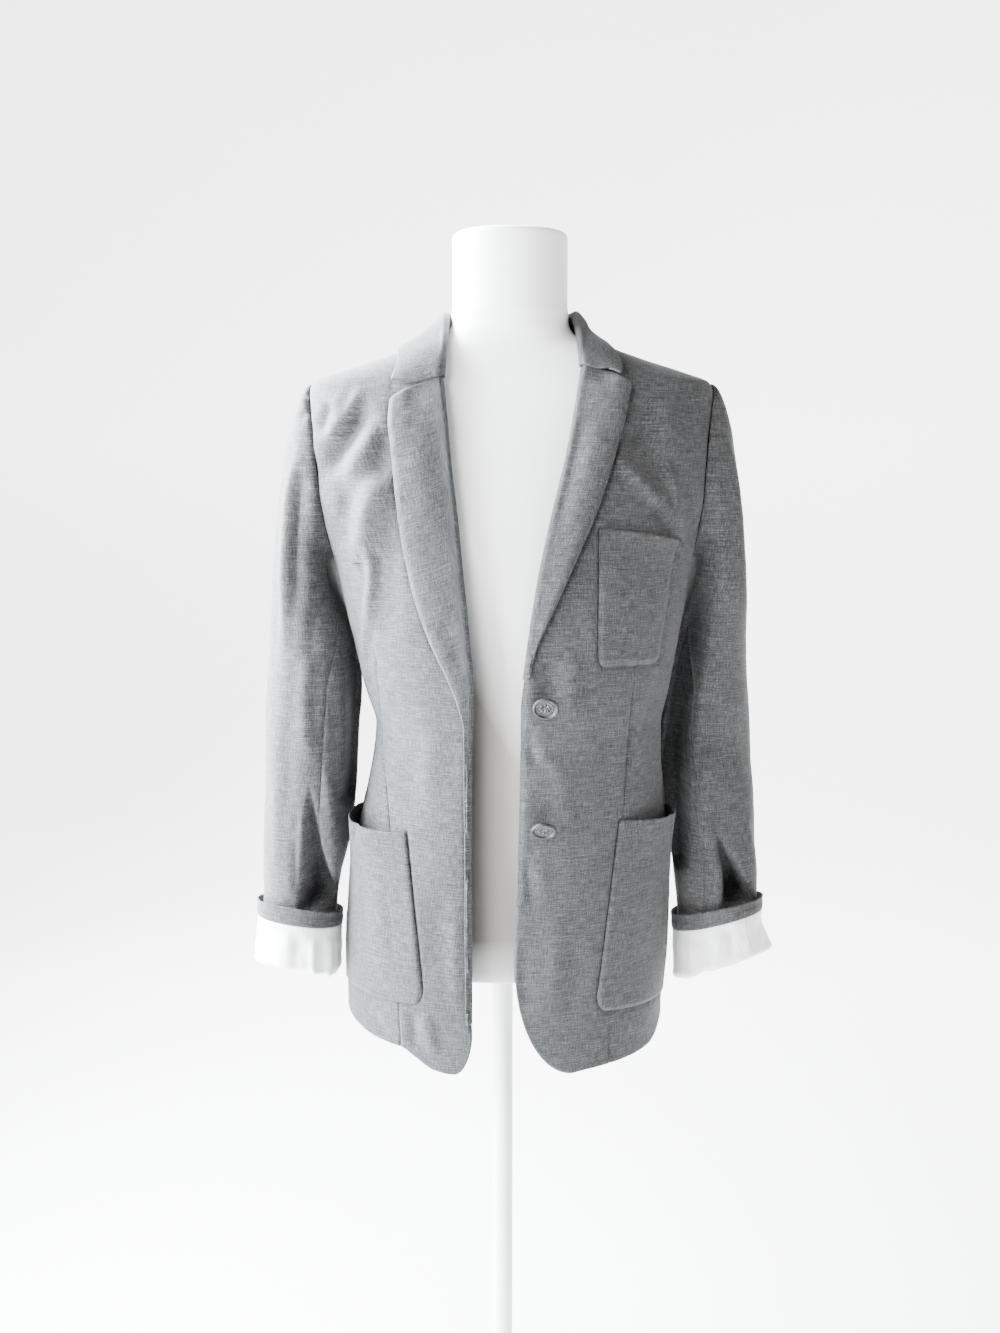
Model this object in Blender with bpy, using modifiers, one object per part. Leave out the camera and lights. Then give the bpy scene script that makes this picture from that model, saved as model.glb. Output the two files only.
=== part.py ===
"""Single breasted blazer, worn open on a limbless dress form that stands on a pole and a round base.

Metres, +Z up. The origin is the centre of the base's underside and the fronts face -Y. "left" and
"right" are the viewer's, so left is -X. Angles round the body run from 0 at the centre front to 180 at
the centre back, positive towards +X. Angles round a sleeve run from 0 at its outer side, through 90 at
its front, 180 at its inner side and 270 at its back.
"""

import math
from bisect import bisect_right
from collections import namedtuple

import bmesh
import bpy
from mathutils import Vector

SIDES = {"left": -1, "right": 1}

# Cloth
SHELL_WALL = 0.0016
DOUBLE_WALL = 0.0018
POCKET_WALL = 0.0014
LINING_WALL = 0.0010
SEAM_GAP = 0.0003
LAY_GAP = 0.0004
POCKET_LIFT = SHELL_WALL + LAY_GAP + POCKET_WALL
LAPEL_LIFT = SHELL_WALL + LAY_GAP + DOUBLE_WALL + 0.0004

# Body: level rings from below the hem to the top of the form's neck
Ring = namedtuple("Ring", "height half_width sway front back")
BODY = (
    Ring(0.600, 0.1640, 0.0020, 0.1210, 0.1200),
    Ring(0.660, 0.1640, 0.0020, 0.1205, 0.1200),
    Ring(0.730, 0.1660, 0.0035, 0.1190, 0.1190),
    Ring(0.800, 0.1640, 0.0065, 0.1180, 0.1160),
    Ring(0.850, 0.1600, 0.0090, 0.1180, 0.1120),
    Ring(0.900, 0.1520, 0.0130, 0.1190, 0.1060),
    Ring(0.935, 0.1465, 0.0148, 0.1205, 0.1010),
    Ring(0.967, 0.1440, 0.0160, 0.1220, 0.0980),
    Ring(1.000, 0.1515, 0.0150, 0.1250, 0.0990),
    Ring(1.062, 0.1645, 0.0125, 0.1280, 0.1070),
    Ring(1.100, 0.1715, 0.0110, 0.1270, 0.1130),
    Ring(1.132, 0.1780, 0.0098, 0.1220, 0.1165),
    Ring(1.165, 0.1900, 0.0090, 0.1145, 0.1175),
    Ring(1.200, 0.2010, 0.0085, 0.1055, 0.1155),
    Ring(1.235, 0.2050, 0.0080, 0.0935, 0.1110),
    Ring(1.265, 0.2040, 0.0080, 0.0820, 0.1020),
    Ring(1.285, 0.2015, 0.0080, 0.0730, 0.0940),
    Ring(1.297, 0.1985, 0.0080, 0.0670, 0.0885),
    Ring(1.304, 0.1930, 0.0080, 0.0635, 0.0850),
    Ring(1.310, 0.1760, 0.0078, 0.0610, 0.0820),
    Ring(1.323, 0.1370, 0.0075, 0.0570, 0.0750),
    Ring(1.335, 0.1030, 0.0073, 0.0543, 0.0680),
    Ring(1.345, 0.0775, 0.0070, 0.0526, 0.0625),
    Ring(1.352, 0.0680, 0.0068, 0.0522, 0.0608),
    Ring(1.362, 0.0610, 0.0068, 0.0520, 0.0598),
    Ring(1.378, 0.0574, 0.0068, 0.0520, 0.0598),
    Ring(1.445, 0.0572, 0.0068, 0.0520, 0.0598),
)
SQUARENESS = 0.04

# Front edges: where each front folds or ends, by height
FrontEdge = namedtuple("FrontEdge", "height left right")
FRONT_EDGE = (
    FrontEdge(0.600, -0.0310, 0.0110),
    FrontEdge(0.728, -0.0295, 0.0116),
    FrontEdge(0.834, -0.0297, 0.0141),
    FrontEdge(0.947, -0.0290, 0.0165),
    FrontEdge(1.017, -0.0270, 0.0173),
    FrontEdge(1.064, -0.0305, 0.0225),
    FrontEdge(1.119, -0.0358, 0.0310),
    FrontEdge(1.173, -0.0413, 0.0428),
    FrontEdge(1.228, -0.0480, 0.0566),
    FrontEdge(1.264, -0.0515, 0.0640),
    FrontEdge(1.305, -0.0563, 0.0713),
    FrontEdge(1.316, -0.0590, 0.0732),
    FrontEdge(1.335, -0.0655, 0.0795),
    FrontEdge(1.345, -0.0695, 0.0835),
)
ROLL_INSET = 0.0030
NECK_HEIGHT = 1.345

# Armholes: ellipses in angle and height on the body
ARMHOLE_TOP = 1.304
ARMHOLE_BOTTOM = 1.132
ARMHOLE_MIDDLE = (ARMHOLE_TOP + ARMHOLE_BOTTOM) / 2
ARMHOLE_HALF = (ARMHOLE_TOP - ARMHOLE_BOTTOM) / 2
ARMHOLE_STATIONS = 8
ARMHOLE_STEP = 180 / ARMHOLE_STATIONS
ARMHOLE_FRONT_ANGLE = 27.0
ARMHOLE_BACK_ANGLE = 30.0

# Hem: heights by the distance in X from the front edge, and the round corner's radius and rise
HemPoint = namedtuple("HemPoint", "reach left right")
HEM = (
    HemPoint(0.000, 0.6370, 0.6366),
    HemPoint(0.020, 0.6370, 0.6366),
    HemPoint(0.037, 0.6396, 0.6366),
    HemPoint(0.055, 0.6500, 0.6368),
    HemPoint(0.068, 0.6575, 0.6385),
    HemPoint(0.095, 0.6600, 0.6405),
    HemPoint(0.135, 0.6680, 0.6440),
    HemPoint(0.155, 0.6685, 0.6600),
)
CORNER_RADIUS = {"left": 0.018, "right": 0.058}
CORNER_RISE = {"left": 0.045, "right": 0.112}
BACK_HEM = 0.655
SKIRT_TOP = 0.820

# Gorge: where collar and lapel meet, as X and Z
Gorge = namedtuple("Gorge", "roll notch collar_tip lapel_tip")
GORGE = {
    "left": Gorge((-0.0563, 1.3050), (-0.0813, 1.2960), (-0.1018, 1.2979), (-0.1052, 1.2824)),
    "right": Gorge((0.0732, 1.3156), (0.0981, 1.3081), (0.1085, 1.3040), (0.1200, 1.2961)),
}

# Lapels: free edge by height, from the lower end up to the tip
LapelEdge = namedtuple("LapelEdge", "height x")
LAPEL_EDGE = {
    "left": (
        LapelEdge(0.690, -0.0355),
        LapelEdge(0.978, -0.0358),
        LapelEdge(1.001, -0.0405),
        LapelEdge(1.027, -0.0499),
        LapelEdge(1.064, -0.0669),
        LapelEdge(1.110, -0.0820),
        LapelEdge(1.146, -0.0901),
        LapelEdge(1.191, -0.0977),
        LapelEdge(1.236, -0.1030),
        LapelEdge(1.265, -0.1059),
        LapelEdge(1.2824, -0.1052),
    ),
    "right": (
        LapelEdge(1.028, 0.0240),
        LapelEdge(1.048, 0.0275),
        LapelEdge(1.092, 0.0456),
        LapelEdge(1.1375, 0.0663),
        LapelEdge(1.184, 0.0865),
        LapelEdge(1.227, 0.1012),
        LapelEdge(1.264, 0.1123),
        LapelEdge(1.2961, 0.1200),
    ),
}
ROLL_WRAP = ((0.0060, -0.0026), (0.0012, -0.0024), (0.0, 0.0012), (0.0012, 0.0046))
LAPEL_ROLL = 0.0034
LAPEL_FOOT = {"left": 0.690, "right": 1.028}

# Collar: stations from the centre back to the gorge. The base runs round the neckline and then down
# the front's edge, the fold is measured from the neck's axis, and the leaf's edge lies on the body.
# bulge is how far the middle of the leaf swells out
NECK_AXIS_X = 0.007
NECK_AXIS_Y = 0.004
Station = namedtuple("Station", "way base_height fold_x fold_y fold_z leaf_angle leaf_height bulge")
SHOULDER_WAY = 0.68
SHOULDER_ANGLE = 80.0
COLLAR = {
    "left": (
        Station(0.00, 1.3470, 0.0000, 0.0655, 1.3710, 180, 1.3220, 0.0040),
        Station(0.20, 1.3470, 0.0310, 0.0575, 1.3710, 160, 1.3225, 0.0020),
        Station(0.40, 1.3470, 0.0535, 0.0330, 1.3710, 133, 1.3260, -0.0020),
        Station(0.55, 1.3470, 0.0595, 0.0060, 1.3700, 103, 1.3320, -0.0040),
        Station(0.68, 1.3470, 0.0600, -0.0110, 1.3650, 77, 1.3335, -0.0030),
        Station(0.80, 1.3400, 0.0605, -0.0310, 1.3500, 51, 1.3250, 0.0020),
        Station(0.90, 1.3280, 0.0622, -0.0530, 1.3290, 38, 1.3120, 0.0080),
        Station(1.00, 1.3080, 0.0633, -0.0640, 1.3060, 33.5, 1.2982, 0.0100),
    ),
    "right": (
        Station(0.00, 1.3470, 0.0000, 0.0655, 1.3710, 180, 1.3220, 0.0040),
        Station(0.20, 1.3470, 0.0310, 0.0575, 1.3712, 160, 1.3225, 0.0020),
        Station(0.40, 1.3470, 0.0540, 0.0330, 1.3715, 133, 1.3310, -0.0020),
        Station(0.55, 1.3470, 0.0605, 0.0060, 1.3712, 106, 1.3400, -0.0040),
        Station(0.68, 1.3470, 0.0622, -0.0110, 1.3665, 84, 1.3425, -0.0030),
        Station(0.80, 1.3410, 0.0640, -0.0280, 1.3520, 57, 1.3340, 0.0020),
        Station(0.90, 1.3310, 0.0655, -0.0490, 1.3335, 41.5, 1.3185, 0.0080),
        Station(1.00, 1.3185, 0.0662, -0.0580, 1.3166, 32, 1.3043, 0.0100),
    ),
}
NECK_SEAM_GAP = 0.0028
LEAF_SHARES = (0.3, 0.62, 0.84, 1.0)
COLLAR_ROLL = 0.0100
COLLAR_ROLL_AT_GORGE = 0.0050

# Sleeves: the shell's outer face by height. outer and inner are distances from the frame's middle
SleeveRing = namedtuple("SleeveRing", "height outer inner middle_y half_depth")
SLEEVE = {
    "left": (
        SleeveRing(0.700, 0.2560, 0.1745, -0.014, 0.0480),
        SleeveRing(0.735, 0.2530, 0.1735, -0.014, 0.0475),
        SleeveRing(0.765, 0.2490, 0.1735, -0.013, 0.0470),
        SleeveRing(0.800, 0.2478, 0.1690, -0.011, 0.0485),
        SleeveRing(0.850, 0.2462, 0.1570, -0.008, 0.0520),
        SleeveRing(0.900, 0.2448, 0.1520, -0.004, 0.0555),
        SleeveRing(0.950, 0.2438, 0.1485, 0.000, 0.0590),
        SleeveRing(1.000, 0.2418, 0.1455, 0.008, 0.0630),
        SleeveRing(1.050, 0.2390, 0.1515, 0.018, 0.0670),
        SleeveRing(1.090, 0.2360, 0.1645, 0.018, 0.0690),
    ),
    "right": (
        SleeveRing(0.700, 0.2860, 0.1835, -0.014, 0.0480),
        SleeveRing(0.735, 0.2745, 0.1830, -0.014, 0.0475),
        SleeveRing(0.765, 0.2640, 0.1825, -0.013, 0.0470),
        SleeveRing(0.800, 0.2630, 0.1790, -0.009, 0.0485),
        SleeveRing(0.850, 0.2620, 0.1740, 0.004, 0.0520),
        SleeveRing(0.900, 0.2606, 0.1665, 0.0135, 0.0555),
        SleeveRing(0.950, 0.2585, 0.1625, 0.026, 0.0590),
        SleeveRing(1.000, 0.2545, 0.1685, 0.028, 0.0630),
        SleeveRing(1.050, 0.2505, 0.1795, 0.026, 0.0670),
        SleeveRing(1.090, 0.2480, 0.1870, 0.022, 0.0690),
    ),
}
CAP_FOOT = 1.090
SLEEVE_SQUARENESS = 0.03
SLEEVE_FOOT = 0.7175
SeamAngle = namedtuple("SeamAngle", "height front back")
SLEEVE_SEAM = (
    SeamAngle(0.700, 118, 245),
    SeamAngle(0.900, 112, 245),
    SeamAngle(1.000, 112, 240),
    SeamAngle(1.090, 135, 225),
    SeamAngle(1.132, 150, 212),
)

# Cuffs: mean height and lift off the sleeve of each row, from inside the sleeve round the turn-up
CuffRow = namedtuple("CuffRow", "height lift")
LINING_ROWS = (
    CuffRow(0.7400, -0.0044),
    CuffRow(0.7200, -0.0044),
    CuffRow(0.7105, -0.0034),
    CuffRow(0.7080, 0.0000),
    CuffRow(0.7105, 0.0032),
    CuffRow(0.7220, 0.0040),
    CuffRow(0.7400, 0.0044),
    CuffRow(0.7590, 0.0050),
)
BAND_ROWS = (
    CuffRow(0.7595, 0.0056),
    CuffRow(0.7640, 0.0062),
    CuffRow(0.7690, 0.0060),
    CuffRow(0.7737, 0.0066),
)

# Cuff tilt: how far the sleeve's outer side and its front stand above the mean height
CuffTilt = namedtuple("CuffTilt", "height outer front")
CUFF_TILT = {
    "left": (
        CuffTilt(0.708, 0.0039, 0.0141),
        CuffTilt(0.759, 0.0071, 0.0090),
        CuffTilt(0.774, 0.0073, 0.0120),
        CuffTilt(0.860, 0.0000, 0.0000),
    ),
    "right": (
        CuffTilt(0.710, 0.0160, 0.0190),
        CuffTilt(0.759, 0.0126, 0.0110),
        CuffTilt(0.774, 0.0105, 0.0120),
        CuffTilt(0.860, 0.0000, 0.0000),
    ),
}

# Patch pockets: front edge as X at the mouth and the bottom, heights at the front and the side
Pocket = namedtuple(
    "Pocket", "mouth_x bottom_x side_angle mouth_front mouth_side bottom_front bottom_side corner gape"
)
POCKETS = {
    "pocket_left": Pocket(-0.0932, -0.0780, -82, 0.8725, 0.8830, 0.7040, 0.7000, 0.016, 0.0165),
    "pocket_right": Pocket(0.1115, 0.0916, 82, 0.8860, 0.8810, 0.6960, 0.6850, 0.016, 0.0135),
    "breast_pocket": Pocket(0.0880, 0.0870, 56, 1.1640, 1.1525, 1.0380, 1.0370, 0.012, 0.0),
}

# Buttons: place on the right front, lean of the face forward and turn in its own plane, in degrees
Button = namedtuple("Button", "x height droop swing")
BUTTONS = {
    "button_upper": Button(0.0382, 1.0025, 27, 14),
    "button_lower": Button(0.0370, 0.8854, 40, 10),
}
BUTTON_RADIUS = 0.0117
BUTTON_STEM_RADIUS = 0.0024
BUTTON_STEM = 0.0045

# Dress form: how far it lies inside the body's rings
Slack = namedtuple("Slack", "height side front back")
FORM_SLACK = (
    Slack(0.720, 0.0260, 0.0200, 0.0150),
    Slack(0.800, 0.0240, 0.0180, 0.0120),
    Slack(0.900, 0.0260, 0.0160, 0.0120),
    Slack(0.967, 0.0280, 0.0150, 0.0120),
    Slack(1.062, 0.0200, 0.0130, 0.0100),
    Slack(1.132, 0.0200, 0.0110, 0.0060),
    Slack(1.200, 0.0340, 0.0100, 0.0040),
    Slack(1.265, 0.0340, 0.0090, 0.0030),
    Slack(1.297, 0.0320, 0.0080, 0.0020),
    Slack(1.304, 0.0280, 0.0080, 0.0010),
    Slack(1.310, 0.0120, 0.0080, 0.0000),
    Slack(1.316, 0.0000, 0.0080, 0.0000),
    Slack(1.332, 0.0000, 0.0080, 0.0000),
    Slack(1.338, 0.0025, 0.0075, 0.0010),
    Slack(1.345, 0.0060, 0.0065, 0.0025),
    Slack(1.353, 0.0050, 0.0035, 0.0015),
    Slack(1.370, 0.0000, 0.0000, 0.0000),
)
FORM_SEAT = 0.0011
FORM_BOTTOM = 0.720
FORM_TOP = 1.445
FORM_EDGE = 0.004
FORM_SEGMENTS = 28

# Stand
BASE_RADIUS = 0.160
BASE_THICKNESS = 0.014
BASE_BEVEL = 0.004
POLE_RADIUS = 0.0107
STAND_SEGMENTS = 32

# Largest folds: lines in front view, as X and Z, with the trough's half width and depth
Fold = namedtuple("Fold", "x_from z_from x_to z_to half_width depth")
FOLDS = {
    "sleeve_left": (
        Fold(-0.190, 0.945, -0.164, 0.850, 0.011, 0.0050),
        Fold(-0.204, 0.850, -0.186, 0.790, 0.010, 0.0055),
        Fold(-0.228, 0.900, -0.222, 0.800, 0.010, 0.0025),
    ),
    "sleeve_right": (
        Fold(0.206, 0.880, 0.228, 0.790, 0.011, 0.0060),
        Fold(0.243, 0.850, 0.250, 0.800, 0.009, 0.0035),
        Fold(0.186, 0.960, 0.206, 0.880, 0.011, 0.0030),
    ),
    "front_left": (
        Fold(-0.140, 1.287, -0.168, 1.250, 0.010, 0.0020),
        Fold(-0.118, 0.985, -0.112, 0.880, 0.006, 0.0016),
    ),
    "front_right": (
        Fold(0.112, 1.215, 0.150, 1.170, 0.012, 0.0022),
        Fold(0.127, 1.020, 0.118, 0.895, 0.006, 0.0016),
    ),
}


def read(table, height, column):
    """A column of a table at a height, on a smooth curve that never overshoots its rows."""
    rows = [row[0] for row in table]
    values = [getattr(row, column) for row in table]
    if height <= rows[0]:
        return values[0]
    if height >= rows[-1]:
        return values[-1]
    here = bisect_right(rows, height) - 1

    def slope(index):
        return (values[index + 1] - values[index]) / (rows[index + 1] - rows[index])

    def tangent(index):
        if index == 0:
            return slope(0)
        if index == len(rows) - 1:
            return slope(index - 1)
        before, after = slope(index - 1), slope(index)
        return 0.0 if before * after <= 0 else 2 * before * after / (before + after)

    span = rows[here + 1] - rows[here]
    t = (height - rows[here]) / span
    return (
        (2 * t**3 - 3 * t**2 + 1) * values[here]
        + (t**3 - 2 * t**2 + t) * span * tangent(here)
        + (3 * t**2 - 2 * t**3) * values[here + 1]
        + (t**3 - t**2) * span * tangent(here + 1)
    )


def mix(start, end, t):
    return start + (end - start) * t


def ease(value, low, high):
    t = min(max((value - low) / (high - low), 0.0), 1.0)
    return t * t * (3 - 2 * t)


def spread(low, high, steps, power=1.0):
    return [mix(low, high, (step / steps) ** power) for step in range(steps + 1)]


def body_ring(angle, height, slack=Slack(0, 0, 0, 0)):
    turn = math.radians(angle)
    half = read(BODY, height, "half_width") - slack.side
    if math.cos(turn) > 0:
        depth = read(BODY, height, "front") - slack.front
    else:
        depth = read(BODY, height, "back") - slack.back
    corner = 1 + SQUARENESS * math.sin(2 * turn) ** 2
    x = read(BODY, height, "sway") + half * math.sin(turn) * corner
    return Vector((x, -depth * math.cos(turn) * corner, height))


def body_normal(angle, height):
    step = 0.5
    rise = 0.0015
    around = body_ring(angle + step, height) - body_ring(angle - step, height)
    upward = body_ring(angle, height + rise) - body_ring(angle, height - rise)
    return around.cross(upward).normalized()


def body_point(angle, height, lift=0.0):
    """A place on the shell's inner face, or lifted off it along its normal."""
    return body_ring(angle, height) + body_normal(angle, height) * lift


def angle_at(x, height):
    """The front half's angle whose place has this X at this height."""
    low, high = -90.0, 90.0
    for _ in range(28):
        middle = (low + high) / 2
        if body_ring(middle, height).x < x:
            low = middle
        else:
            high = middle
    return (low + high) / 2


def front_place(x, height, lift):
    return body_point(angle_at(x, height), height, lift)


def fold_depth(folds, x, z):
    """How deep the named folds press in at a place in front view."""
    depth = 0.0
    for fold in folds:
        along = Vector((fold.x_to - fold.x_from, fold.z_to - fold.z_from))
        place = Vector((x - fold.x_from, z - fold.z_from))
        t = place.dot(along) / along.length_squared
        away = (place - along * min(max(t, 0.0), 1.0)).length
        depth += fold.depth * math.exp(-((away / fold.half_width) ** 2))
    return depth


def fresh_scene():
    for obj in list(bpy.data.objects):
        bpy.data.objects.remove(obj, do_unlink=True)
    collection = bpy.data.collections.new("blazer_on_dress_form")
    bpy.context.scene.collection.children.link(collection)
    return collection


def finish(name, colour, roughness, metallic=0.0):
    material = bpy.data.materials.new(name)
    material.use_nodes = True
    shader = material.node_tree.nodes["Principled BSDF"]
    shader.inputs["Base Color"].default_value = (*colour, 1.0)
    shader.inputs["Roughness"].default_value = roughness
    shader.inputs["Metallic"].default_value = metallic
    return material


def place(collection, name, mesh, material):
    mesh.materials.append(material)
    obj = bpy.data.objects.new(name, mesh)
    collection.objects.link(obj)
    return obj


def sheet(collection, name, grid, wall, outward, material, closed=False, flip=False):
    """A wall of cloth from rows of points. outward puts the wall outside the points, else inside them."""
    columns = len(grid[0])
    mesh = bpy.data.meshes.new(name)
    bm = bmesh.new()
    verts = [[bm.verts.new(point) for point in row] for row in grid]
    for lower, upper in zip(verts, verts[1:]):
        for column in range(columns if closed else columns - 1):
            after = (column + 1) % columns
            corners = [lower[column], lower[after], upper[after], upper[column]]
            bm.faces.new(corners[::-1] if flip else corners)
    bm.to_mesh(mesh)
    bm.free()
    mesh.shade_smooth()
    obj = place(collection, name, mesh, material)
    solidify = obj.modifiers.new("wall", "SOLIDIFY")
    solidify.thickness = wall
    solidify.offset = 1.0 if outward else -1.0
    return obj


def edge_x(side, height):
    """X of a front's own edge, which lies a little behind the fold where a lapel rolls round it."""
    fold = read(FRONT_EDGE, height, side)
    rolled = 1 - ease(height, GORGE[side].roll[1] - 0.004, GORGE[side].roll[1] + 0.012)
    rolled *= ease(height, LAPEL_FOOT[side] - 0.03, LAPEL_FOOT[side] + 0.01)
    return fold + SIDES[side] * ROLL_INSET * rolled


def hem_height(side, reach):
    radius = CORNER_RADIUS[side]
    height = read(HEM, reach, side)
    if reach < radius:
        height += CORNER_RISE[side] * (1 - math.sqrt(1 - (1 - reach / radius) ** 2))
    return height


def armhole_half_angle(height, widest):
    reach = (height - ARMHOLE_MIDDLE) / ARMHOLE_HALF
    return widest * math.sqrt(max(0.0, 1 - reach * reach))


def armhole_height(phi, inset=0.0):
    return ARMHOLE_MIDDLE + (ARMHOLE_HALF - inset) * math.cos(math.radians(phi))


def gap_angle(height, gap):
    return math.degrees(gap / read(BODY, height, "half_width"))


def rows_above_skirt():
    armhole = [armhole_height(180 - ARMHOLE_STEP * k) for k in range(ARMHOLE_STATIONS + 1)]
    torso = [0.860, 0.910, 0.950, 0.980, 1.015, 1.055, 1.097]
    shoulder = [1.310, 1.317, 1.324, 1.331, 1.338, NECK_HEIGHT]
    return torso + armhole + shoulder


def front_grid(side):
    sign = SIDES[side]
    across = spread(0.0, 1.0, 12, 1.6)

    def point(share, height):
        start = angle_at(edge_x(side, height), height)
        end = 90 - armhole_half_angle(height, ARMHOLE_FRONT_ANGLE) - gap_angle(height, SEAM_GAP / 2)
        angle = mix(start, sign * end, share)
        surface = body_ring(angle, height)
        press = fold_depth(FOLDS["front_" + side], surface.x, surface.z)
        return body_point(angle, height, -press)

    grid = []
    for step in range(6):
        row = []
        for share in across:
            reach = abs(point(share, 0.660).x - edge_x(side, 0.660))
            hem = hem_height(side, reach)
            row.append(point(share, mix(hem, SKIRT_TOP, step / 6)))
        grid.append(row)
    for height in [SKIRT_TOP] + rows_above_skirt():
        grid.append([point(share, height) for share in across])
    return grid


def back_grid(side):
    sign = SIDES[side]
    side_hem = hem_height(side, HEM[-1].reach)
    across = spread(0.0, 1.0, 7)

    def point(share, height):
        gap = gap_angle(height, SEAM_GAP / 2)
        start = 90 + armhole_half_angle(height, ARMHOLE_BACK_ANGLE) + gap
        return body_point(sign * mix(start, 180 - gap, share), height)

    grid = []
    for step in range(4):
        row = []
        for share in across:
            hem = mix(side_hem, BACK_HEM, ease(share, 0.0, 0.5))
            row.append(point(share, mix(hem, SKIRT_TOP, step / 4)))
        grid.append(row)
    for height in [SKIRT_TOP] + rows_above_skirt():
        grid.append([point(share, height) for share in across])
    return grid


def sleeve_ring(side, phi, height, lift=0.0):
    sign = SIDES[side]
    turn = math.radians(phi)
    table = SLEEVE[side]
    outer = read(table, height, "outer")
    inner = read(table, height, "inner")
    half = (outer - inner) / 2 + lift
    depth = read(table, height, "half_depth") + lift
    corner = 1 + SLEEVE_SQUARENESS * math.sin(2 * turn) ** 2
    x = sign * ((outer + inner) / 2 + half * math.cos(turn) * corner)
    y = read(table, height, "middle_y") - depth * math.sin(turn) * corner
    if math.sin(turn) > 0:
        y += fold_depth(FOLDS["sleeve_" + side], x, height) * math.sin(turn)
    return Vector((x, y, height))


def armhole_station(side, phi):
    turn = math.radians(phi)
    inset = SHELL_WALL + LAY_GAP
    height = armhole_height(phi, inset)
    widest = ARMHOLE_FRONT_ANGLE if math.sin(turn) > 0 else ARMHOLE_BACK_ANGLE
    offset = (widest - gap_angle(height, inset)) * math.sin(turn)
    return body_point(SIDES[side] * (90 - offset), height, SHELL_WALL)


def armhole_point(side, phi):
    """The sleeve's seam, on straight lines between the stations that the armhole's edge has too."""
    before = math.floor(phi / ARMHOLE_STEP) * ARMHOLE_STEP
    share = (phi - before) / ARMHOLE_STEP
    return armhole_station(side, before).lerp(armhole_station(side, before + ARMHOLE_STEP), share)


def cap_point(side, phi, t):
    """The sleeve head: a curve from the armhole seam out and down to the first level ring."""
    sign = SIDES[side]
    turn = math.radians(phi)
    start = armhole_point(side, phi)
    end = sleeve_ring(side, phi, CAP_FOOT, -SHELL_WALL)
    top = (1 + math.cos(turn)) / 2
    leave = Vector((sign * mix(0.034, 0.055, top), -0.010 * math.sin(turn), mix(-0.006, -0.004, top)))
    below = sleeve_ring(side, phi, CAP_FOOT - 0.004, -SHELL_WALL)
    arrive = (below - end).normalized() * mix(0.040, 0.240, top)
    return (
        start * (2 * t**3 - 3 * t**2 + 1)
        + leave * (t**3 - 2 * t**2 + t)
        + end * (3 * t**2 - 2 * t**3)
        + arrive * (t**3 - t**2)
    )


def cuff_tilt(side, phi, height):
    turn = math.radians(phi)
    outer = read(CUFF_TILT[side], height, "outer")
    front = read(CUFF_TILT[side], height, "front")
    return outer * math.cos(turn) + front * math.sin(turn)


def sleeve_grid(side, piece):
    """Rows from the cuff up to the armhole, across the top or the under sleeve."""
    columns = 13 if piece == "top" else 7
    heights = spread(SLEEVE_FOOT, CAP_FOOT, 11)
    cap = spread(1.0, 0.0, 7, 0.8)

    def angles(height, radius=0.045):
        gap = math.degrees(SEAM_GAP / 2 / radius)
        front = read(SLEEVE_SEAM, height, "front")
        back = read(SLEEVE_SEAM, height, "back")
        if piece == "top":
            return [mix(back - 360 + gap, front - gap, k / (columns - 1)) for k in range(columns)]
        return [mix(front + gap, back - gap, k / (columns - 1)) for k in range(columns)]

    grid = []
    for height in heights[:-1]:
        row = []
        for phi in angles(height):
            level = height + cuff_tilt(side, phi, height)
            row.append(sleeve_ring(side, phi, level, -SHELL_WALL))
        grid.append(row)
    for t in cap:
        level = mix(SLEEVE_SEAM[-1].height, CAP_FOOT, t)
        grid.append([cap_point(side, phi, t) for phi in angles(level)])
    return grid


def cuff_grid(side, rows):
    columns = 20
    grid = []
    for entry in rows:
        row = []
        for column in range(columns):
            phi = 360 * column / columns
            level = entry.height + cuff_tilt(side, phi, entry.height)
            row.append(sleeve_ring(side, phi, level, entry.lift))
        grid.append(row)
    return grid


def lapel_grid(side):
    """Rows from the lower end to the gorge; across, from inside the front round the roll to the edge."""
    sign = SIDES[side]
    gorge = GORGE[side]
    foot = LAPEL_FOOT[side]
    steps = 20 if side == "left" else 12
    shares = (0.0, 0.25, 0.5, 0.75, 1.0)
    grid = []
    for step in range(steps + 1):
        t = step / steps
        roll_height = mix(foot, gorge.roll[1] - SEAM_GAP, t)
        drop = ease(t, 0.30, 1.0)
        edge_height = roll_height + (gorge.lapel_tip[1] - gorge.roll[1]) * drop
        fold_x = read(FRONT_EDGE, roll_height, side)
        edge = read(LAPEL_EDGE[side], edge_height, "x")
        row = []
        for inset, lift in ROLL_WRAP:
            row.append(front_place(fold_x + sign * inset, roll_height, lift))
        width = abs(edge - fold_x)
        for share in shares:
            x = mix(fold_x + sign * LAPEL_ROLL, edge, share)
            slant = mix(0.0, gorge.lapel_tip[1] - gorge.roll[1], share)
            line = gorge_height(gorge.roll, gorge.notch, gorge.lapel_tip, x) - gorge.roll[1]
            height = roll_height + mix(slant, line, ease(t, 0.8, 1.0)) * drop
            lift = LAPEL_LIFT + 0.0016 * (1 - share) * min(1.0, width / 0.03)
            row.append(front_place(x, height, lift))
        grid.append(row)
    return grid


def gorge_height(roll, notch, tip, x):
    """Height of the line from the roll through the notch to a tip, at an X."""
    start, end = (roll, notch) if abs(x) < abs(notch[0]) else (notch, tip)
    return mix(start[1], end[1], (x - start[0]) / (end[0] - start[0]))


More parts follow.
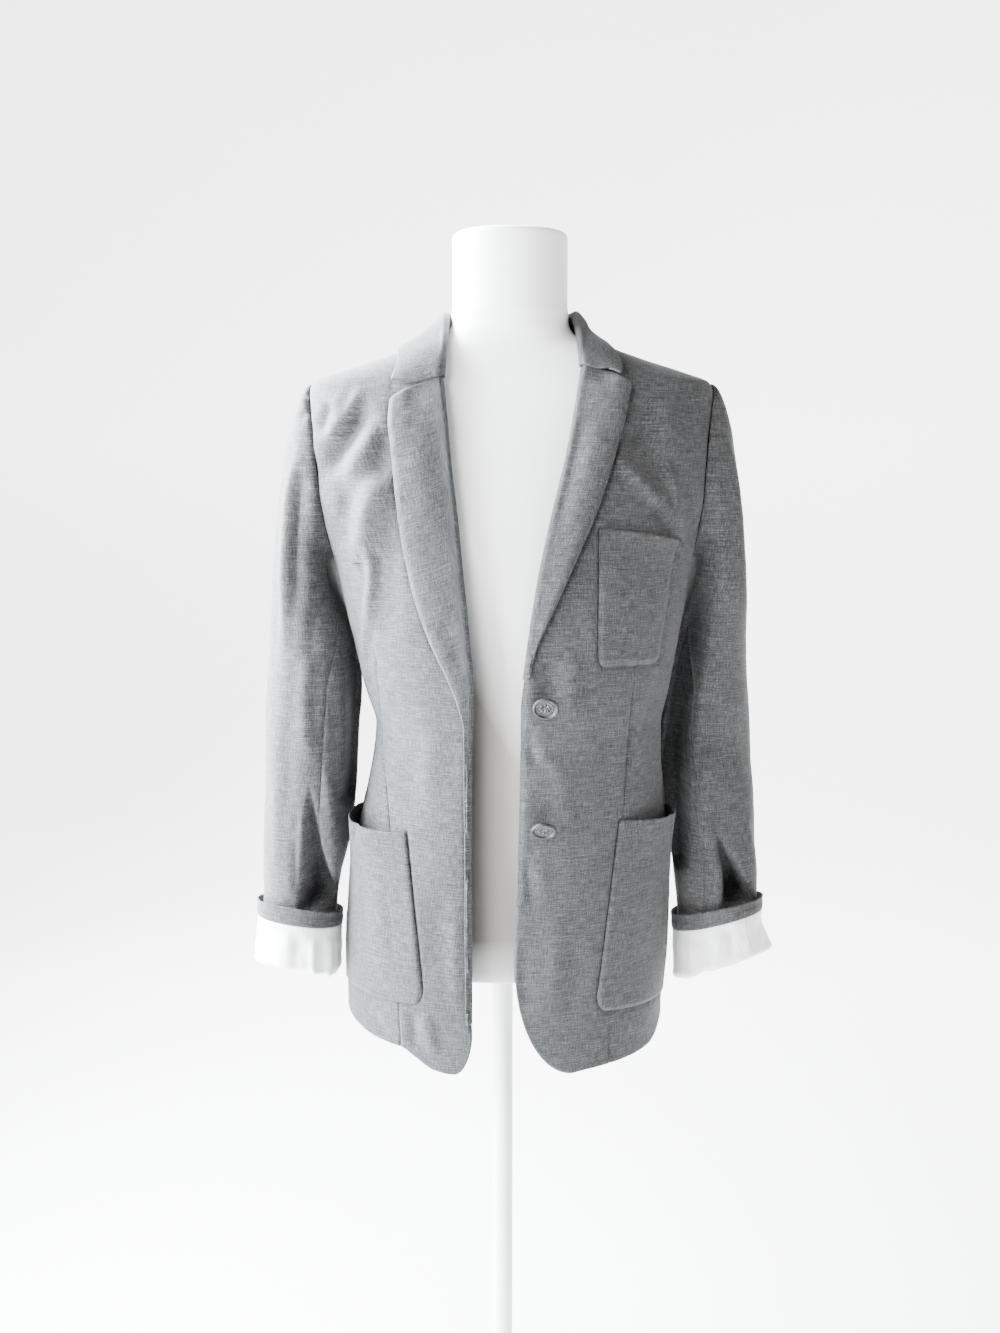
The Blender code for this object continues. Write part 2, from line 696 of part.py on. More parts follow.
def collar_end(side):
    """The collar's section at the gorge, which carries on the lapel's section across the seam."""
    sign = SIDES[side]
    gorge = GORGE[side]
    points = []
    for inset, lift in ROLL_WRAP:
        points.append(front_place(gorge.roll[0] + sign * inset, gorge.roll[1] + SEAM_GAP, lift))
    for share in (0.0, *LEAF_SHARES):
        x = mix(gorge.roll[0] + sign * LAPEL_ROLL, gorge.collar_tip[0], share)
        height = gorge_height(gorge.roll, gorge.notch, gorge.collar_tip, x) + SEAM_GAP
        points.append(front_place(x, height, LAPEL_LIFT + 0.0016 * (1 - share)))
    return points


def collar_section(side, way):
    """Points from the stand's base, over the fold and down the leaf to its edge."""
    sign = SIDES[side]
    table = COLLAR[side]
    value = {column: read(table, way, column) for column in Station._fields[1:]}
    base_angle = sign * mix(180, SHOULDER_ANGLE, min(way / SHOULDER_WAY, 1.0))
    if way > SHOULDER_WAY:
        edge = edge_x(side, value["base_height"]) - sign * NECK_SEAM_GAP
        base_angle = angle_at(edge, value["base_height"])
    base = body_point(base_angle, value["base_height"])
    fold = Vector((NECK_AXIS_X + sign * value["fold_x"], value["fold_y"], value["fold_z"]))
    out = Vector((fold.x - NECK_AXIS_X, fold.y - NECK_AXIS_Y, 0)).normalized()
    roll = mix(COLLAR_ROLL, COLLAR_ROLL_AT_GORGE, ease(way, 0.65, 1.0))
    inner = fold - Vector((0, 0, 0.0030))
    top = fold + out * roll * 0.30 + Vector((0, 0, 0.0015))
    outer = fold + out * roll - Vector((0, 0, roll * 0.45))
    leaf_angle = sign * value["leaf_angle"]
    edge = body_point(leaf_angle, value["leaf_height"], LAPEL_LIFT)
    swell = body_point(leaf_angle, value["leaf_height"], LAPEL_LIFT + value["bulge"])
    bend = outer.lerp(swell, 0.55)
    points = [base, base.lerp(inner, 0.55), inner, top, outer]
    for share in LEAF_SHARES:
        points.append(outer * (1 - share) ** 2 + bend * 2 * share * (1 - share) + edge * share**2)
    blend = ease(way, 0.84, 1.0)
    return [point.lerp(end, blend) for point, end in zip(points, collar_end(side))]


def collar_grid():
    ways = spread(0.0, 1.0, 14)
    left = [collar_section("left", way) for way in reversed(ways)]
    right = [collar_section("right", way) for way in ways[1:]]
    return left + right


def pocket_grid(pocket):
    sign = 1 if pocket.side_angle > 0 else -1
    across = spread(0.0, 1.0, 9, 1.3)
    steps = 8
    grid = []
    for step in range(steps + 1):
        up = (step / steps) ** 1.2
        row = []
        for share in across:
            bottom = mix(pocket.bottom_front, pocket.bottom_side, share)
            mouth = mix(pocket.mouth_front, pocket.mouth_side, share)
            width = abs(pocket.side_angle) * 0.0025
            for reach in (share * width, (1 - share) * width):
                if reach < pocket.corner:
                    bottom += pocket.corner * (1 - math.sqrt(1 - (1 - reach / pocket.corner) ** 2))
            height = mix(bottom, mouth, up)
            front_x = mix(pocket.bottom_x, pocket.mouth_x, up)
            angle = mix(angle_at(front_x, height), pocket.side_angle, share)
            gape = pocket.gape * up**3 * math.sin(math.pi * share**1.5) ** 1.2
            row.append(body_point(angle, height, POCKET_LIFT + gape))
        grid.append(row)
    return grid if sign > 0 else [row[::-1] for row in grid]


def button_profile():
    """Radius and height of the face, rim, back and stem, from the face's middle outwards."""
    radius = BUTTON_RADIUS
    return (
        (0.0, 0.0014),
        (radius * 0.72, 0.0014),
        (radius * 0.80, 0.0028),
        (radius * 0.94, 0.0028),
        (radius, 0.0020),
        (radius, 0.0008),
        (radius * 0.90, 0.0),
        (BUTTON_STEM_RADIUS, 0.0),
        (BUTTON_STEM_RADIUS, -BUTTON_STEM),
        (0.0, -BUTTON_STEM),
    )


def build_button(collection, name, button, material):
    mesh = bpy.data.meshes.new(name)
    bm = bmesh.new()
    verts = [bm.verts.new((radius, 0.0, height)) for radius, height in button_profile()]
    for start, end in zip(verts, verts[1:]):
        bm.edges.new((start, end))
    bm.to_mesh(mesh)
    bm.free()
    obj = place(collection, name, mesh, material)
    screw = obj.modifiers.new("turn", "SCREW")
    screw.steps = 18
    screw.render_steps = 18
    screw.use_merge_vertices = True
    screw.merge_threshold = 0.0001
    screw.use_normal_calculate = True
    angle = angle_at(button.x, button.height)
    normal = body_normal(angle, button.height)
    droop = math.radians(button.droop)
    facing = (normal * math.cos(droop) + Vector((0, 0, -1)) * math.sin(droop)).normalized()
    facing = (facing + Vector((math.radians(-button.swing) * 0.5, 0, 0))).normalized()
    cloth = body_point(angle, button.height, SHELL_WALL)
    rim_reach = BUTTON_RADIUS * math.sin(facing.angle(normal))
    obj.rotation_euler = facing.to_track_quat("Z", "Y").to_euler()
    obj.location = cloth + normal * (rim_reach + LAY_GAP)
    return obj


def form_slack(height):
    return Slack(height, *(read(FORM_SLACK, height, column) for column in ("side", "front", "back")))


def build_form(collection, material):
    """Torso and neck as one closed solid of level rings."""
    low = [FORM_BOTTOM, FORM_BOTTOM + FORM_EDGE, 0.760, 0.800, 0.850, 0.900, 0.935, 0.967, 1.000]
    chest = [1.035, 1.068, 1.100, 1.132, 1.165, 1.200, 1.235, 1.265, 1.285, 1.297, 1.304, 1.3075]
    shoulder = [1.310, 1.3165, 1.323, 1.329, 1.335, 1.340, 1.345, 1.352, 1.362, 1.378, 1.410]
    top = [FORM_TOP - FORM_EDGE, FORM_TOP]
    mesh = bpy.data.meshes.new("dress_form")
    bm = bmesh.new()
    rings = []
    for height in low + chest + shoulder + top:
        slack = form_slack(height)
        if height in (FORM_BOTTOM, FORM_TOP):
            slack = Slack(height, *(inset + FORM_EDGE for inset in slack[1:]))
        ring = []
        for step in range(FORM_SEGMENTS):
            angle = 360 * step / FORM_SEGMENTS
            point = body_ring(angle, height, slack) - body_normal(angle, height) * FORM_SEAT
            ring.append(bm.verts.new((point.x, point.y, height)))
        rings.append(ring)
    for lower, upper in zip(rings, rings[1:]):
        for step in range(FORM_SEGMENTS):
            after = (step + 1) % FORM_SEGMENTS
            bm.faces.new((lower[step], lower[after], upper[after], upper[step]))
    bm.faces.new(rings[0][::-1])
    bm.faces.new(rings[-1])
    bm.to_mesh(mesh)
    bm.free()
    mesh.shade_smooth()
    return place(collection, "dress_form", mesh, material)


def build_disc(collection, name, radius, bottom, top, bevel, material):
    bpy.ops.mesh.primitive_cylinder_add(
        vertices=STAND_SEGMENTS, radius=radius, depth=top - bottom, location=(0, 0, (bottom + top) / 2)
    )
    obj = bpy.context.active_object
    obj.name = name
    obj.data.name = name
    obj.data.materials.append(material)
    for owner in list(obj.users_collection):
        owner.objects.unlink(obj)
    collection.objects.link(obj)
    if bevel:
        rounding = obj.modifiers.new("edge", "BEVEL")
        rounding.width = bevel
        rounding.segments = 2
        rounding.limit_method = "ANGLE"
    return obj


def build_jacket(collection, wool, lining, metal):
    for side, sign in SIDES.items():
        mirrored = sign < 0
        grid = front_grid(side)
        sheet(collection, "front_" + side, grid, SHELL_WALL, True, wool, flip=mirrored)
        grid = back_grid(side)
        sheet(collection, "back_" + side, grid, SHELL_WALL, True, wool, flip=mirrored)
        for piece in ("top", "under"):
            grid = sleeve_grid(side, piece)
            name = piece + "_sleeve_" + side
            sheet(collection, name, grid, SHELL_WALL, True, wool, flip=not mirrored)
        grid = cuff_grid(side, LINING_ROWS)
        name = "cuff_lining_" + side
        sheet(collection, name, grid, LINING_WALL, False, lining, closed=True, flip=not mirrored)
        grid = cuff_grid(side, BAND_ROWS)
        name = "cuff_band_" + side
        sheet(collection, name, grid, POCKET_WALL, False, wool, closed=True, flip=not mirrored)
        grid = lapel_grid(side)
        sheet(collection, "lapel_" + side, grid, DOUBLE_WALL, False, wool, flip=mirrored)
    sheet(collection, "collar", collar_grid(), DOUBLE_WALL, False, wool)
    for name, pocket in POCKETS.items():
        sheet(collection, name, pocket_grid(pocket), POCKET_WALL, False, wool)
    for name, button in BUTTONS.items():
        build_button(collection, name, button, metal)


def main():
    collection = fresh_scene()
    wool = finish("wool", (0.26, 0.28, 0.31), 0.85)
    lining = finish("lining", (0.80, 0.80, 0.79), 0.55)
    metal = finish("button_metal", (0.20, 0.20, 0.19), 0.35, 1.0)
    cover = finish("form_cover", (0.86, 0.86, 0.85), 0.75)
    paint = finish("stand_paint", (0.82, 0.82, 0.81), 0.40)
    build_jacket(collection, wool, lining, metal)
    build_form(collection, cover)
    pole_foot = BASE_THICKNESS + SEAM_GAP
    pole_head = FORM_BOTTOM - SEAM_GAP
    build_disc(collection, "stand_pole", POLE_RADIUS, pole_foot, pole_head, 0.0, paint)
    build_disc(collection, "stand_base", BASE_RADIUS, 0.0, BASE_THICKNESS, BASE_BEVEL, paint)


main()
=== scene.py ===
"""Single breasted blazer, worn open on a limbless dress form that stands on a pole and a round base.

Metres, +Z up. The fronts face -Y. "left" and "right" are the viewer's, so left is -X. Every piece of the
blazer is a thin shell on its solid's form. Angles round the body run from 0 at the centre front to 180 at
the centre back, positive towards +X. Angles round a sleeve run from 0 at its outer side, through 90 at its
front, 180 at its inner side and 270 at its back.
"""

import math
from collections import namedtuple

import bpy
import numpy as np
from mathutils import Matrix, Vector


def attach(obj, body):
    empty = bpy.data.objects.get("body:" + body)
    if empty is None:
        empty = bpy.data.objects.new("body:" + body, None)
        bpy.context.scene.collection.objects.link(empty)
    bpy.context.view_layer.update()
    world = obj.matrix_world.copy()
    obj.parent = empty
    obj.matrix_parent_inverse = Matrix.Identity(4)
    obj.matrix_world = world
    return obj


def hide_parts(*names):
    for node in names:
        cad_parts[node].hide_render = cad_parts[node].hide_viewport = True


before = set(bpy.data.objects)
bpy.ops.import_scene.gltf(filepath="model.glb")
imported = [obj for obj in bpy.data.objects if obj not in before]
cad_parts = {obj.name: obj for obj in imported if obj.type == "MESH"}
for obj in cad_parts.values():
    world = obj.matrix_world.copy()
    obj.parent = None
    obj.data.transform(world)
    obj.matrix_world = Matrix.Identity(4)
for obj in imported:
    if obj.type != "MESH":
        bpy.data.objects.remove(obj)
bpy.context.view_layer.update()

SIDES = {"left": -1, "right": 1}


def table(columns, *rows):
    """Rows whose numbers are read by the names of their columns."""
    kind = namedtuple("Row", columns)
    return [kind(*row) for row in rows]


# Cloth
SHELL_WALL = 0.0016
DOUBLE_WALL = 0.0018
POCKET_WALL = 0.0014
LINING_WALL = 0.0010
SEAM_GAP = 0.0003
LAY_GAP = 0.0004
POCKET_LIFT = SHELL_WALL + LAY_GAP + POCKET_WALL
LAPEL_LIFT = SHELL_WALL + LAY_GAP + DOUBLE_WALL + 0.0004

# Body: level rings from below the hem to the top of the form's neck
BODY = table(
    "height half_width sway front back",
    (0.600, 0.1640, 0.0020, 0.1210, 0.1200), (0.660, 0.1640, 0.0020, 0.1205, 0.1200),
    (0.730, 0.1660, 0.0035, 0.1190, 0.1190), (0.800, 0.1640, 0.0065, 0.1180, 0.1160),
    (0.850, 0.1600, 0.0090, 0.1180, 0.1120), (0.900, 0.1520, 0.0130, 0.1190, 0.1060),
    (0.935, 0.1465, 0.0148, 0.1205, 0.1010), (0.967, 0.1440, 0.0160, 0.1220, 0.0980),
    (1.000, 0.1515, 0.0150, 0.1250, 0.0990), (1.062, 0.1645, 0.0125, 0.1280, 0.1070),
    (1.100, 0.1715, 0.0110, 0.1270, 0.1130), (1.132, 0.1780, 0.0098, 0.1220, 0.1165),
    (1.165, 0.1900, 0.0090, 0.1145, 0.1175), (1.200, 0.2010, 0.0085, 0.1055, 0.1155),
    (1.235, 0.2050, 0.0080, 0.0935, 0.1110), (1.265, 0.2040, 0.0080, 0.0820, 0.1020),
    (1.285, 0.2015, 0.0080, 0.0730, 0.0940), (1.297, 0.1985, 0.0080, 0.0670, 0.0885),
    (1.304, 0.1930, 0.0080, 0.0635, 0.0850), (1.310, 0.1760, 0.0078, 0.0610, 0.0820),
    (1.323, 0.1370, 0.0075, 0.0570, 0.0750), (1.335, 0.1030, 0.0073, 0.0543, 0.0680),
    (1.345, 0.0775, 0.0070, 0.0526, 0.0625), (1.352, 0.0680, 0.0068, 0.0522, 0.0608),
    (1.362, 0.0610, 0.0068, 0.0520, 0.0598), (1.378, 0.0574, 0.0068, 0.0520, 0.0598),
    (1.445, 0.0572, 0.0068, 0.0520, 0.0598),
)
SQUARENESS = 0.04

# Front edges: where each front folds or ends, by height
FRONT_EDGE = table(
    "height left right",
    (0.600, -0.0310, 0.0110), (0.728, -0.0295, 0.0116), (0.834, -0.0297, 0.0141),
    (0.947, -0.0290, 0.0165), (1.017, -0.0270, 0.0173), (1.064, -0.0305, 0.0225),
    (1.119, -0.0358, 0.0310), (1.173, -0.0413, 0.0428), (1.228, -0.0480, 0.0566),
    (1.264, -0.0515, 0.0640), (1.305, -0.0563, 0.0713), (1.316, -0.0590, 0.0732),
    (1.335, -0.0655, 0.0795), (1.345, -0.0695, 0.0835),
)
ROLL_INSET = 0.0030
NECK_HEIGHT = 1.345

# Armholes: ellipses in angle and height on the body
ARMHOLE_TOP = 1.304
ARMHOLE_BOTTOM = 1.132
ARMHOLE_MIDDLE = (ARMHOLE_TOP + ARMHOLE_BOTTOM) / 2
ARMHOLE_HALF = (ARMHOLE_TOP - ARMHOLE_BOTTOM) / 2
ARMHOLE_FRONT_ANGLE = 27.0
ARMHOLE_BACK_ANGLE = 30.0

# Hem: heights by the distance in X from the front edge, and the round corner's radius and rise
HEM = table(
    "reach left right",
    (0.000, 0.6370, 0.6366), (0.020, 0.6370, 0.6366), (0.037, 0.6396, 0.6366), (0.055, 0.6500, 0.6368),
    (0.068, 0.6575, 0.6385), (0.095, 0.6600, 0.6405), (0.135, 0.6680, 0.6440), (0.155, 0.6685, 0.6600),
)
CORNER_RADIUS = {"left": 0.018, "right": 0.058}
CORNER_RISE = {"left": 0.045, "right": 0.112}
BACK_HEM = 0.655
SKIRT_TOP = 0.820

# Gorge: where collar and lapel meet, as X and Z
Gorge = namedtuple("Gorge", "roll notch collar_tip lapel_tip")
GORGE = {
    "left": Gorge((-0.0563, 1.3050), (-0.0813, 1.2960), (-0.1018, 1.2979), (-0.1052, 1.2824)),
    "right": Gorge((0.0732, 1.3156), (0.0981, 1.3081), (0.1085, 1.3040), (0.1200, 1.2961)),
}

# Lapels: free edge by height, from the lower end up to the tip
LAPEL_EDGE = {
    "left": table(
        "height x",
        (0.690, -0.0355), (0.978, -0.0358), (1.001, -0.0405), (1.027, -0.0499), (1.064, -0.0669),
        (1.110, -0.0820), (1.146, -0.0901), (1.191, -0.0977), (1.236, -0.1030), (1.265, -0.1059),
        (1.2824, -0.1052),
    ),
    "right": table(
        "height x",
        (1.028, 0.0240), (1.048, 0.0275), (1.092, 0.0456), (1.1375, 0.0663), (1.184, 0.0865),
        (1.227, 0.1012), (1.264, 0.1123), (1.2961, 0.1200),
    ),
}
LAPEL_ROLL = 0.0034
LAPEL_FOOT = {"left": 0.690, "right": 1.028}

# Collar: stations from the centre back to the gorge. The base runs round the neckline and then down
# the front's edge, the fold is measured from the neck's axis, and the leaf's edge lies on the body.
# bulge is how far the middle of the leaf swells out
NECK_AXIS_X = 0.007
NECK_AXIS_Y = 0.004
SHOULDER_WAY = 0.68
SHOULDER_ANGLE = 80.0
COLLAR = {
    "left": table(
        "way base_height fold_x fold_y fold_z leaf_angle leaf_height bulge",
        (0.00, 1.3470, 0.0000, 0.0655, 1.3710, 180, 1.3220, 0.0040),
        (0.20, 1.3470, 0.0310, 0.0575, 1.3710, 160, 1.3225, 0.0020),
        (0.40, 1.3470, 0.0535, 0.0330, 1.3710, 133, 1.3260, -0.0020),
        (0.55, 1.3470, 0.0595, 0.0060, 1.3700, 103, 1.3320, -0.0040),
        (0.68, 1.3470, 0.0600, -0.0110, 1.3650, 77, 1.3335, -0.0030),
        (0.80, 1.3400, 0.0605, -0.0310, 1.3500, 51, 1.3250, 0.0020),
        (0.90, 1.3280, 0.0622, -0.0530, 1.3290, 38, 1.3120, 0.0080),
        (1.00, 1.3080, 0.0633, -0.0640, 1.3060, 33.5, 1.2982, 0.0100),
    ),
    "right": table(
        "way base_height fold_x fold_y fold_z leaf_angle leaf_height bulge",
        (0.00, 1.3470, 0.0000, 0.0655, 1.3710, 180, 1.3220, 0.0040),
        (0.20, 1.3470, 0.0310, 0.0575, 1.3712, 160, 1.3225, 0.0020),
        (0.40, 1.3470, 0.0540, 0.0330, 1.3715, 133, 1.3310, -0.0020),
        (0.55, 1.3470, 0.0605, 0.0060, 1.3712, 106, 1.3400, -0.0040),
        (0.68, 1.3470, 0.0622, -0.0110, 1.3665, 84, 1.3425, -0.0030),
        (0.80, 1.3410, 0.0640, -0.0280, 1.3520, 57, 1.3340, 0.0020),
        (0.90, 1.3310, 0.0655, -0.0490, 1.3335, 41.5, 1.3185, 0.0080),
        (1.00, 1.3185, 0.0662, -0.0580, 1.3166, 32, 1.3043, 0.0100),
    ),
}
NECK_SEAM_GAP = 0.0028
LEAF_SHARES = (0.3, 0.62, 0.84, 1.0)
COLLAR_ROLL = 0.0100
COLLAR_ROLL_AT_GORGE = 0.0050

# Sleeves: the shell's outer face by height. outer and inner are distances from the frame's middle
SLEEVE = {
    "left": table(
        "height outer inner middle_y half_depth",
        (0.700, 0.2560, 0.1745, -0.014, 0.0480), (0.735, 0.2530, 0.1735, -0.014, 0.0475),
        (0.765, 0.2490, 0.1735, -0.013, 0.0470), (0.800, 0.2478, 0.1690, -0.011, 0.0485),
        (0.850, 0.2462, 0.1570, -0.008, 0.0520), (0.900, 0.2448, 0.1520, -0.004, 0.0555),
        (0.950, 0.2438, 0.1485, 0.000, 0.0590), (1.000, 0.2418, 0.1455, 0.008, 0.0630),
        (1.050, 0.2390, 0.1515, 0.018, 0.0670), (1.090, 0.2360, 0.1645, 0.018, 0.0690),
    ),
    "right": table(
        "height outer inner middle_y half_depth",
        (0.700, 0.2860, 0.1835, -0.014, 0.0480), (0.735, 0.2745, 0.1830, -0.014, 0.0475),
        (0.765, 0.2640, 0.1825, -0.013, 0.0470), (0.800, 0.2630, 0.1790, -0.009, 0.0485),
        (0.850, 0.2620, 0.1740, 0.004, 0.0520), (0.900, 0.2606, 0.1665, 0.0135, 0.0555),
        (0.950, 0.2585, 0.1625, 0.026, 0.0590), (1.000, 0.2545, 0.1685, 0.028, 0.0630),
        (1.050, 0.2505, 0.1795, 0.026, 0.0670), (1.090, 0.2480, 0.1870, 0.022, 0.0690),
    ),
}
CAP_FOOT = 1.090
SLEEVE_SQUARENESS = 0.03
SLEEVE_FOOT = 0.7175
SLEEVE_SEAM = table(
    "height front back",
    (0.700, 118, 245), (0.900, 112, 245), (1.000, 114, 240), (1.090, 147, 225), (1.132, 150, 212),
)

# Cuffs: mean height and lift off the sleeve of each row, from inside the sleeve round the turn-up
LINING_ROWS = table(
    "height lift",
    (0.7400, -0.0044), (0.7200, -0.0044), (0.7105, -0.0034), (0.7080, 0.0000), (0.7105, 0.0032),
    (0.7220, 0.0040), (0.7400, 0.0044), (0.7590, 0.0050),
)
BAND_ROWS = table(
    "height lift",
    (0.7595, 0.0056), (0.7640, 0.0062), (0.7690, 0.0060), (0.7737, 0.0066),
)

# Cuff tilt: how far the sleeve's outer side and its front stand above the mean height
CUFF_TILT = {
    "left": table(
        "height outer front",
        (0.708, 0.0039, 0.0141), (0.759, 0.0071, 0.0090), (0.774, 0.0073, 0.0120),
        (0.860, 0.0000, 0.0000),
    ),
    "right": table(
        "height outer front",
        (0.710, 0.0160, 0.0190), (0.759, 0.0126, 0.0110), (0.774, 0.0105, 0.0120),
        (0.860, 0.0000, 0.0000),
    ),
}

# Patch pockets: front edge as X at the mouth and the bottom, heights at the front and the side, and how far
# the middle of the mouth sags and stands off
Pocket = namedtuple(
    "Pocket", "mouth_x bottom_x side_angle mouth_front mouth_side bottom_front bottom_side corner sag gape"
)
POCKETS = {
    "pocket_left": Pocket(-0.0932, -0.0780, -82, 0.8725, 0.8830, 0.7040, 0.7000, 0.016, 0.0065, 0.0165),
    "pocket_right": Pocket(0.1115, 0.0916, 82, 0.8860, 0.8810, 0.6960, 0.6850, 0.016, 0.0020, 0.0135),
    "breast_pocket": Pocket(0.0880, 0.0870, 56, 1.1640, 1.1525, 1.0380, 1.0370, 0.012, 0.0, 0.0040),
}

# Buttons: place on the right front, lean of the face forward and turn in its own plane, in degrees
Button = namedtuple("Button", "x height droop swing")
BUTTONS = {
    "button_upper": Button(0.0382, 1.0025, 27, 14),
    "button_lower": Button(0.0370, 0.8854, 40, 10),
}
BUTTON_RADIUS = 0.0117
BUTTON_STEM_RADIUS = 0.0024
BUTTON_STEM = 0.0045

# Dress form: how far it lies inside the body's rings
FORM_SLACK = table(
    "height side front back",
    (0.720, 0.0260, 0.0200, 0.0150), (0.800, 0.0240, 0.0180, 0.0120), (0.900, 0.0260, 0.0160, 0.0120),
    (0.967, 0.0280, 0.0150, 0.0120), (1.062, 0.0200, 0.0130, 0.0100), (1.132, 0.0200, 0.0110, 0.0060),
    (1.200, 0.0340, 0.0100, 0.0040), (1.265, 0.0340, 0.0090, 0.0030), (1.297, 0.0320, 0.0080, 0.0020),
    (1.304, 0.0280, 0.0080, 0.0010), (1.310, 0.0120, 0.0080, 0.0000), (1.316, 0.0000, 0.0080, 0.0000),
    (1.332, 0.0000, 0.0080, 0.0000), (1.338, 0.0025, 0.0075, 0.0010), (1.345, 0.0060, 0.0065, 0.0025),
    (1.353, 0.0050, 0.0035, 0.0015), (1.370, 0.0000, 0.0000, 0.0000),
)
FORM_SEAT = 0.0011
FORM_BOTTOM = 0.720
FORM_TOP = 1.445
FORM_EDGE = 0.004

# Stand
BASE_RADIUS = 0.160
BASE_THICKNESS = 0.014
BASE_BEVEL = 0.004
POLE_RADIUS = 0.0107

# Darts: X of each front's dart by height, and its groove
DARTS = {
    "left": table("height x", (0.60, -0.098), (0.875, -0.110), (0.964, -0.119), (1.060, -0.1225)),
    "right": table("height x", (0.60, 0.105), (0.689, 0.105), (0.892, 0.115), (0.974, 0.120), (1.056, 0.123)),
}
DART_WIDTH = 0.0011
DART_DEPTH = 0.0013

# How high each lapel stands off the front a little inside its free edge, and its section round the roll
LAPEL_SWELL = {"left": 0.0046, "right": 0.0050}
ROLL_WRAP = ((0.0060, -0.0026), (0.0012, -0.0024), (0.0, 0.0008), (0.0012, 0.0028))

# Grooves beside a lapel's edge and along a pocket's sewn edges, how far a low pocket's side is tucked in,
# and how wide the dip along a piece's edge is
LAPEL_GROOVE = 0.0011
POCKET_GROOVE = 0.0024
SIDE_TUCK = 0.0022
EDGE_WIDTH = 0.0022

# Where the turned-up lining droops: X, width and drop
LINING_DROOPS = {
    "left": ((-0.180, 0.011, 0.0080), (-0.212, 0.012, 0.0020)),
    "right": ((0.232, 0.016, 0.0020), (0.192, 0.006, 0.0030)),
}

# The level where reaches along the hem are taken, and a sleeve's mean radius for its grain
HEM_LEVEL = 0.660
SLEEVE_RADIUS = 0.055

# The buttons' size against their radius, the pole's rounded edge, and where the form's rings lie closer
BUTTON_SCALE = 1.06
POLE_BEVEL = 0.0006
FORM_SHOULDER = 1.297
FORM_NECK = 1.378

# How many rows and columns each surface has
CREASE_POINTS = 26
TORSO_ROWS, ARMHOLE_ROWS, SHOULDER_ROWS = 78, 66, 14
FRONT_COLUMNS, FRONT_SKIRT_ROWS = 132, 50
BACK_COLUMNS, BACK_SKIRT_ROWS = 64, 40
SLEEVE_COLUMNS = {"top": 86, "under": 46}
SLEEVE_ROWS, CAP_ROWS = 118, 54
CUFF_COLUMNS, LINING_SECTION, BAND_SECTION = 170, 36, 12
LAPEL_ROWS = {"left": 230, "right": 150}
LAPEL_COLUMNS = 66
COLLAR_WAYS, COLLAR_COLUMNS = 76, 52
POCKET_SIZE = {"breast_pocket": (104, 112)}
LOW_POCKET_SIZE = (84, 100)
BUTTON_STEPS = 104
FORM_COLUMNS, FORM_ROWS = 112, (64, 44, 16)

# Light and camera
WALL_GLOW = 3.0
ROOM_GLOW = 0.45
WARM = (1.0, 0.985, 0.955)
LIGHTS = {  # place, target, size, power and colour of each
    "window_light": ((-0.98, -0.34, 1.00), (-0.05, 0.0, 0.95), (0.5, 1.8), 170.0, (0.86, 0.94, 1.0)),
    "window_back_light": ((-1.05, 0.30, 1.85), (-0.15, 0.0, 1.25), (0.6, 0.9), 560.0, (0.92, 0.97, 1.0)),
    "chest_light": ((-1.05, -1.35, 1.70), (-0.05, -0.1, 1.05), (0.9, 0.8), 50.0, WARM),
    "side_fill": ((1.40, -0.45, 1.15), (0.2, 0.0, 1.0), (1.0, 1.0), 13.0, WARM),
}
CAMERA_PLACE = (-0.003, -1.216, 1.200)
CAMERA_TIP = 8.37
CAMERA_LENS = 32.41

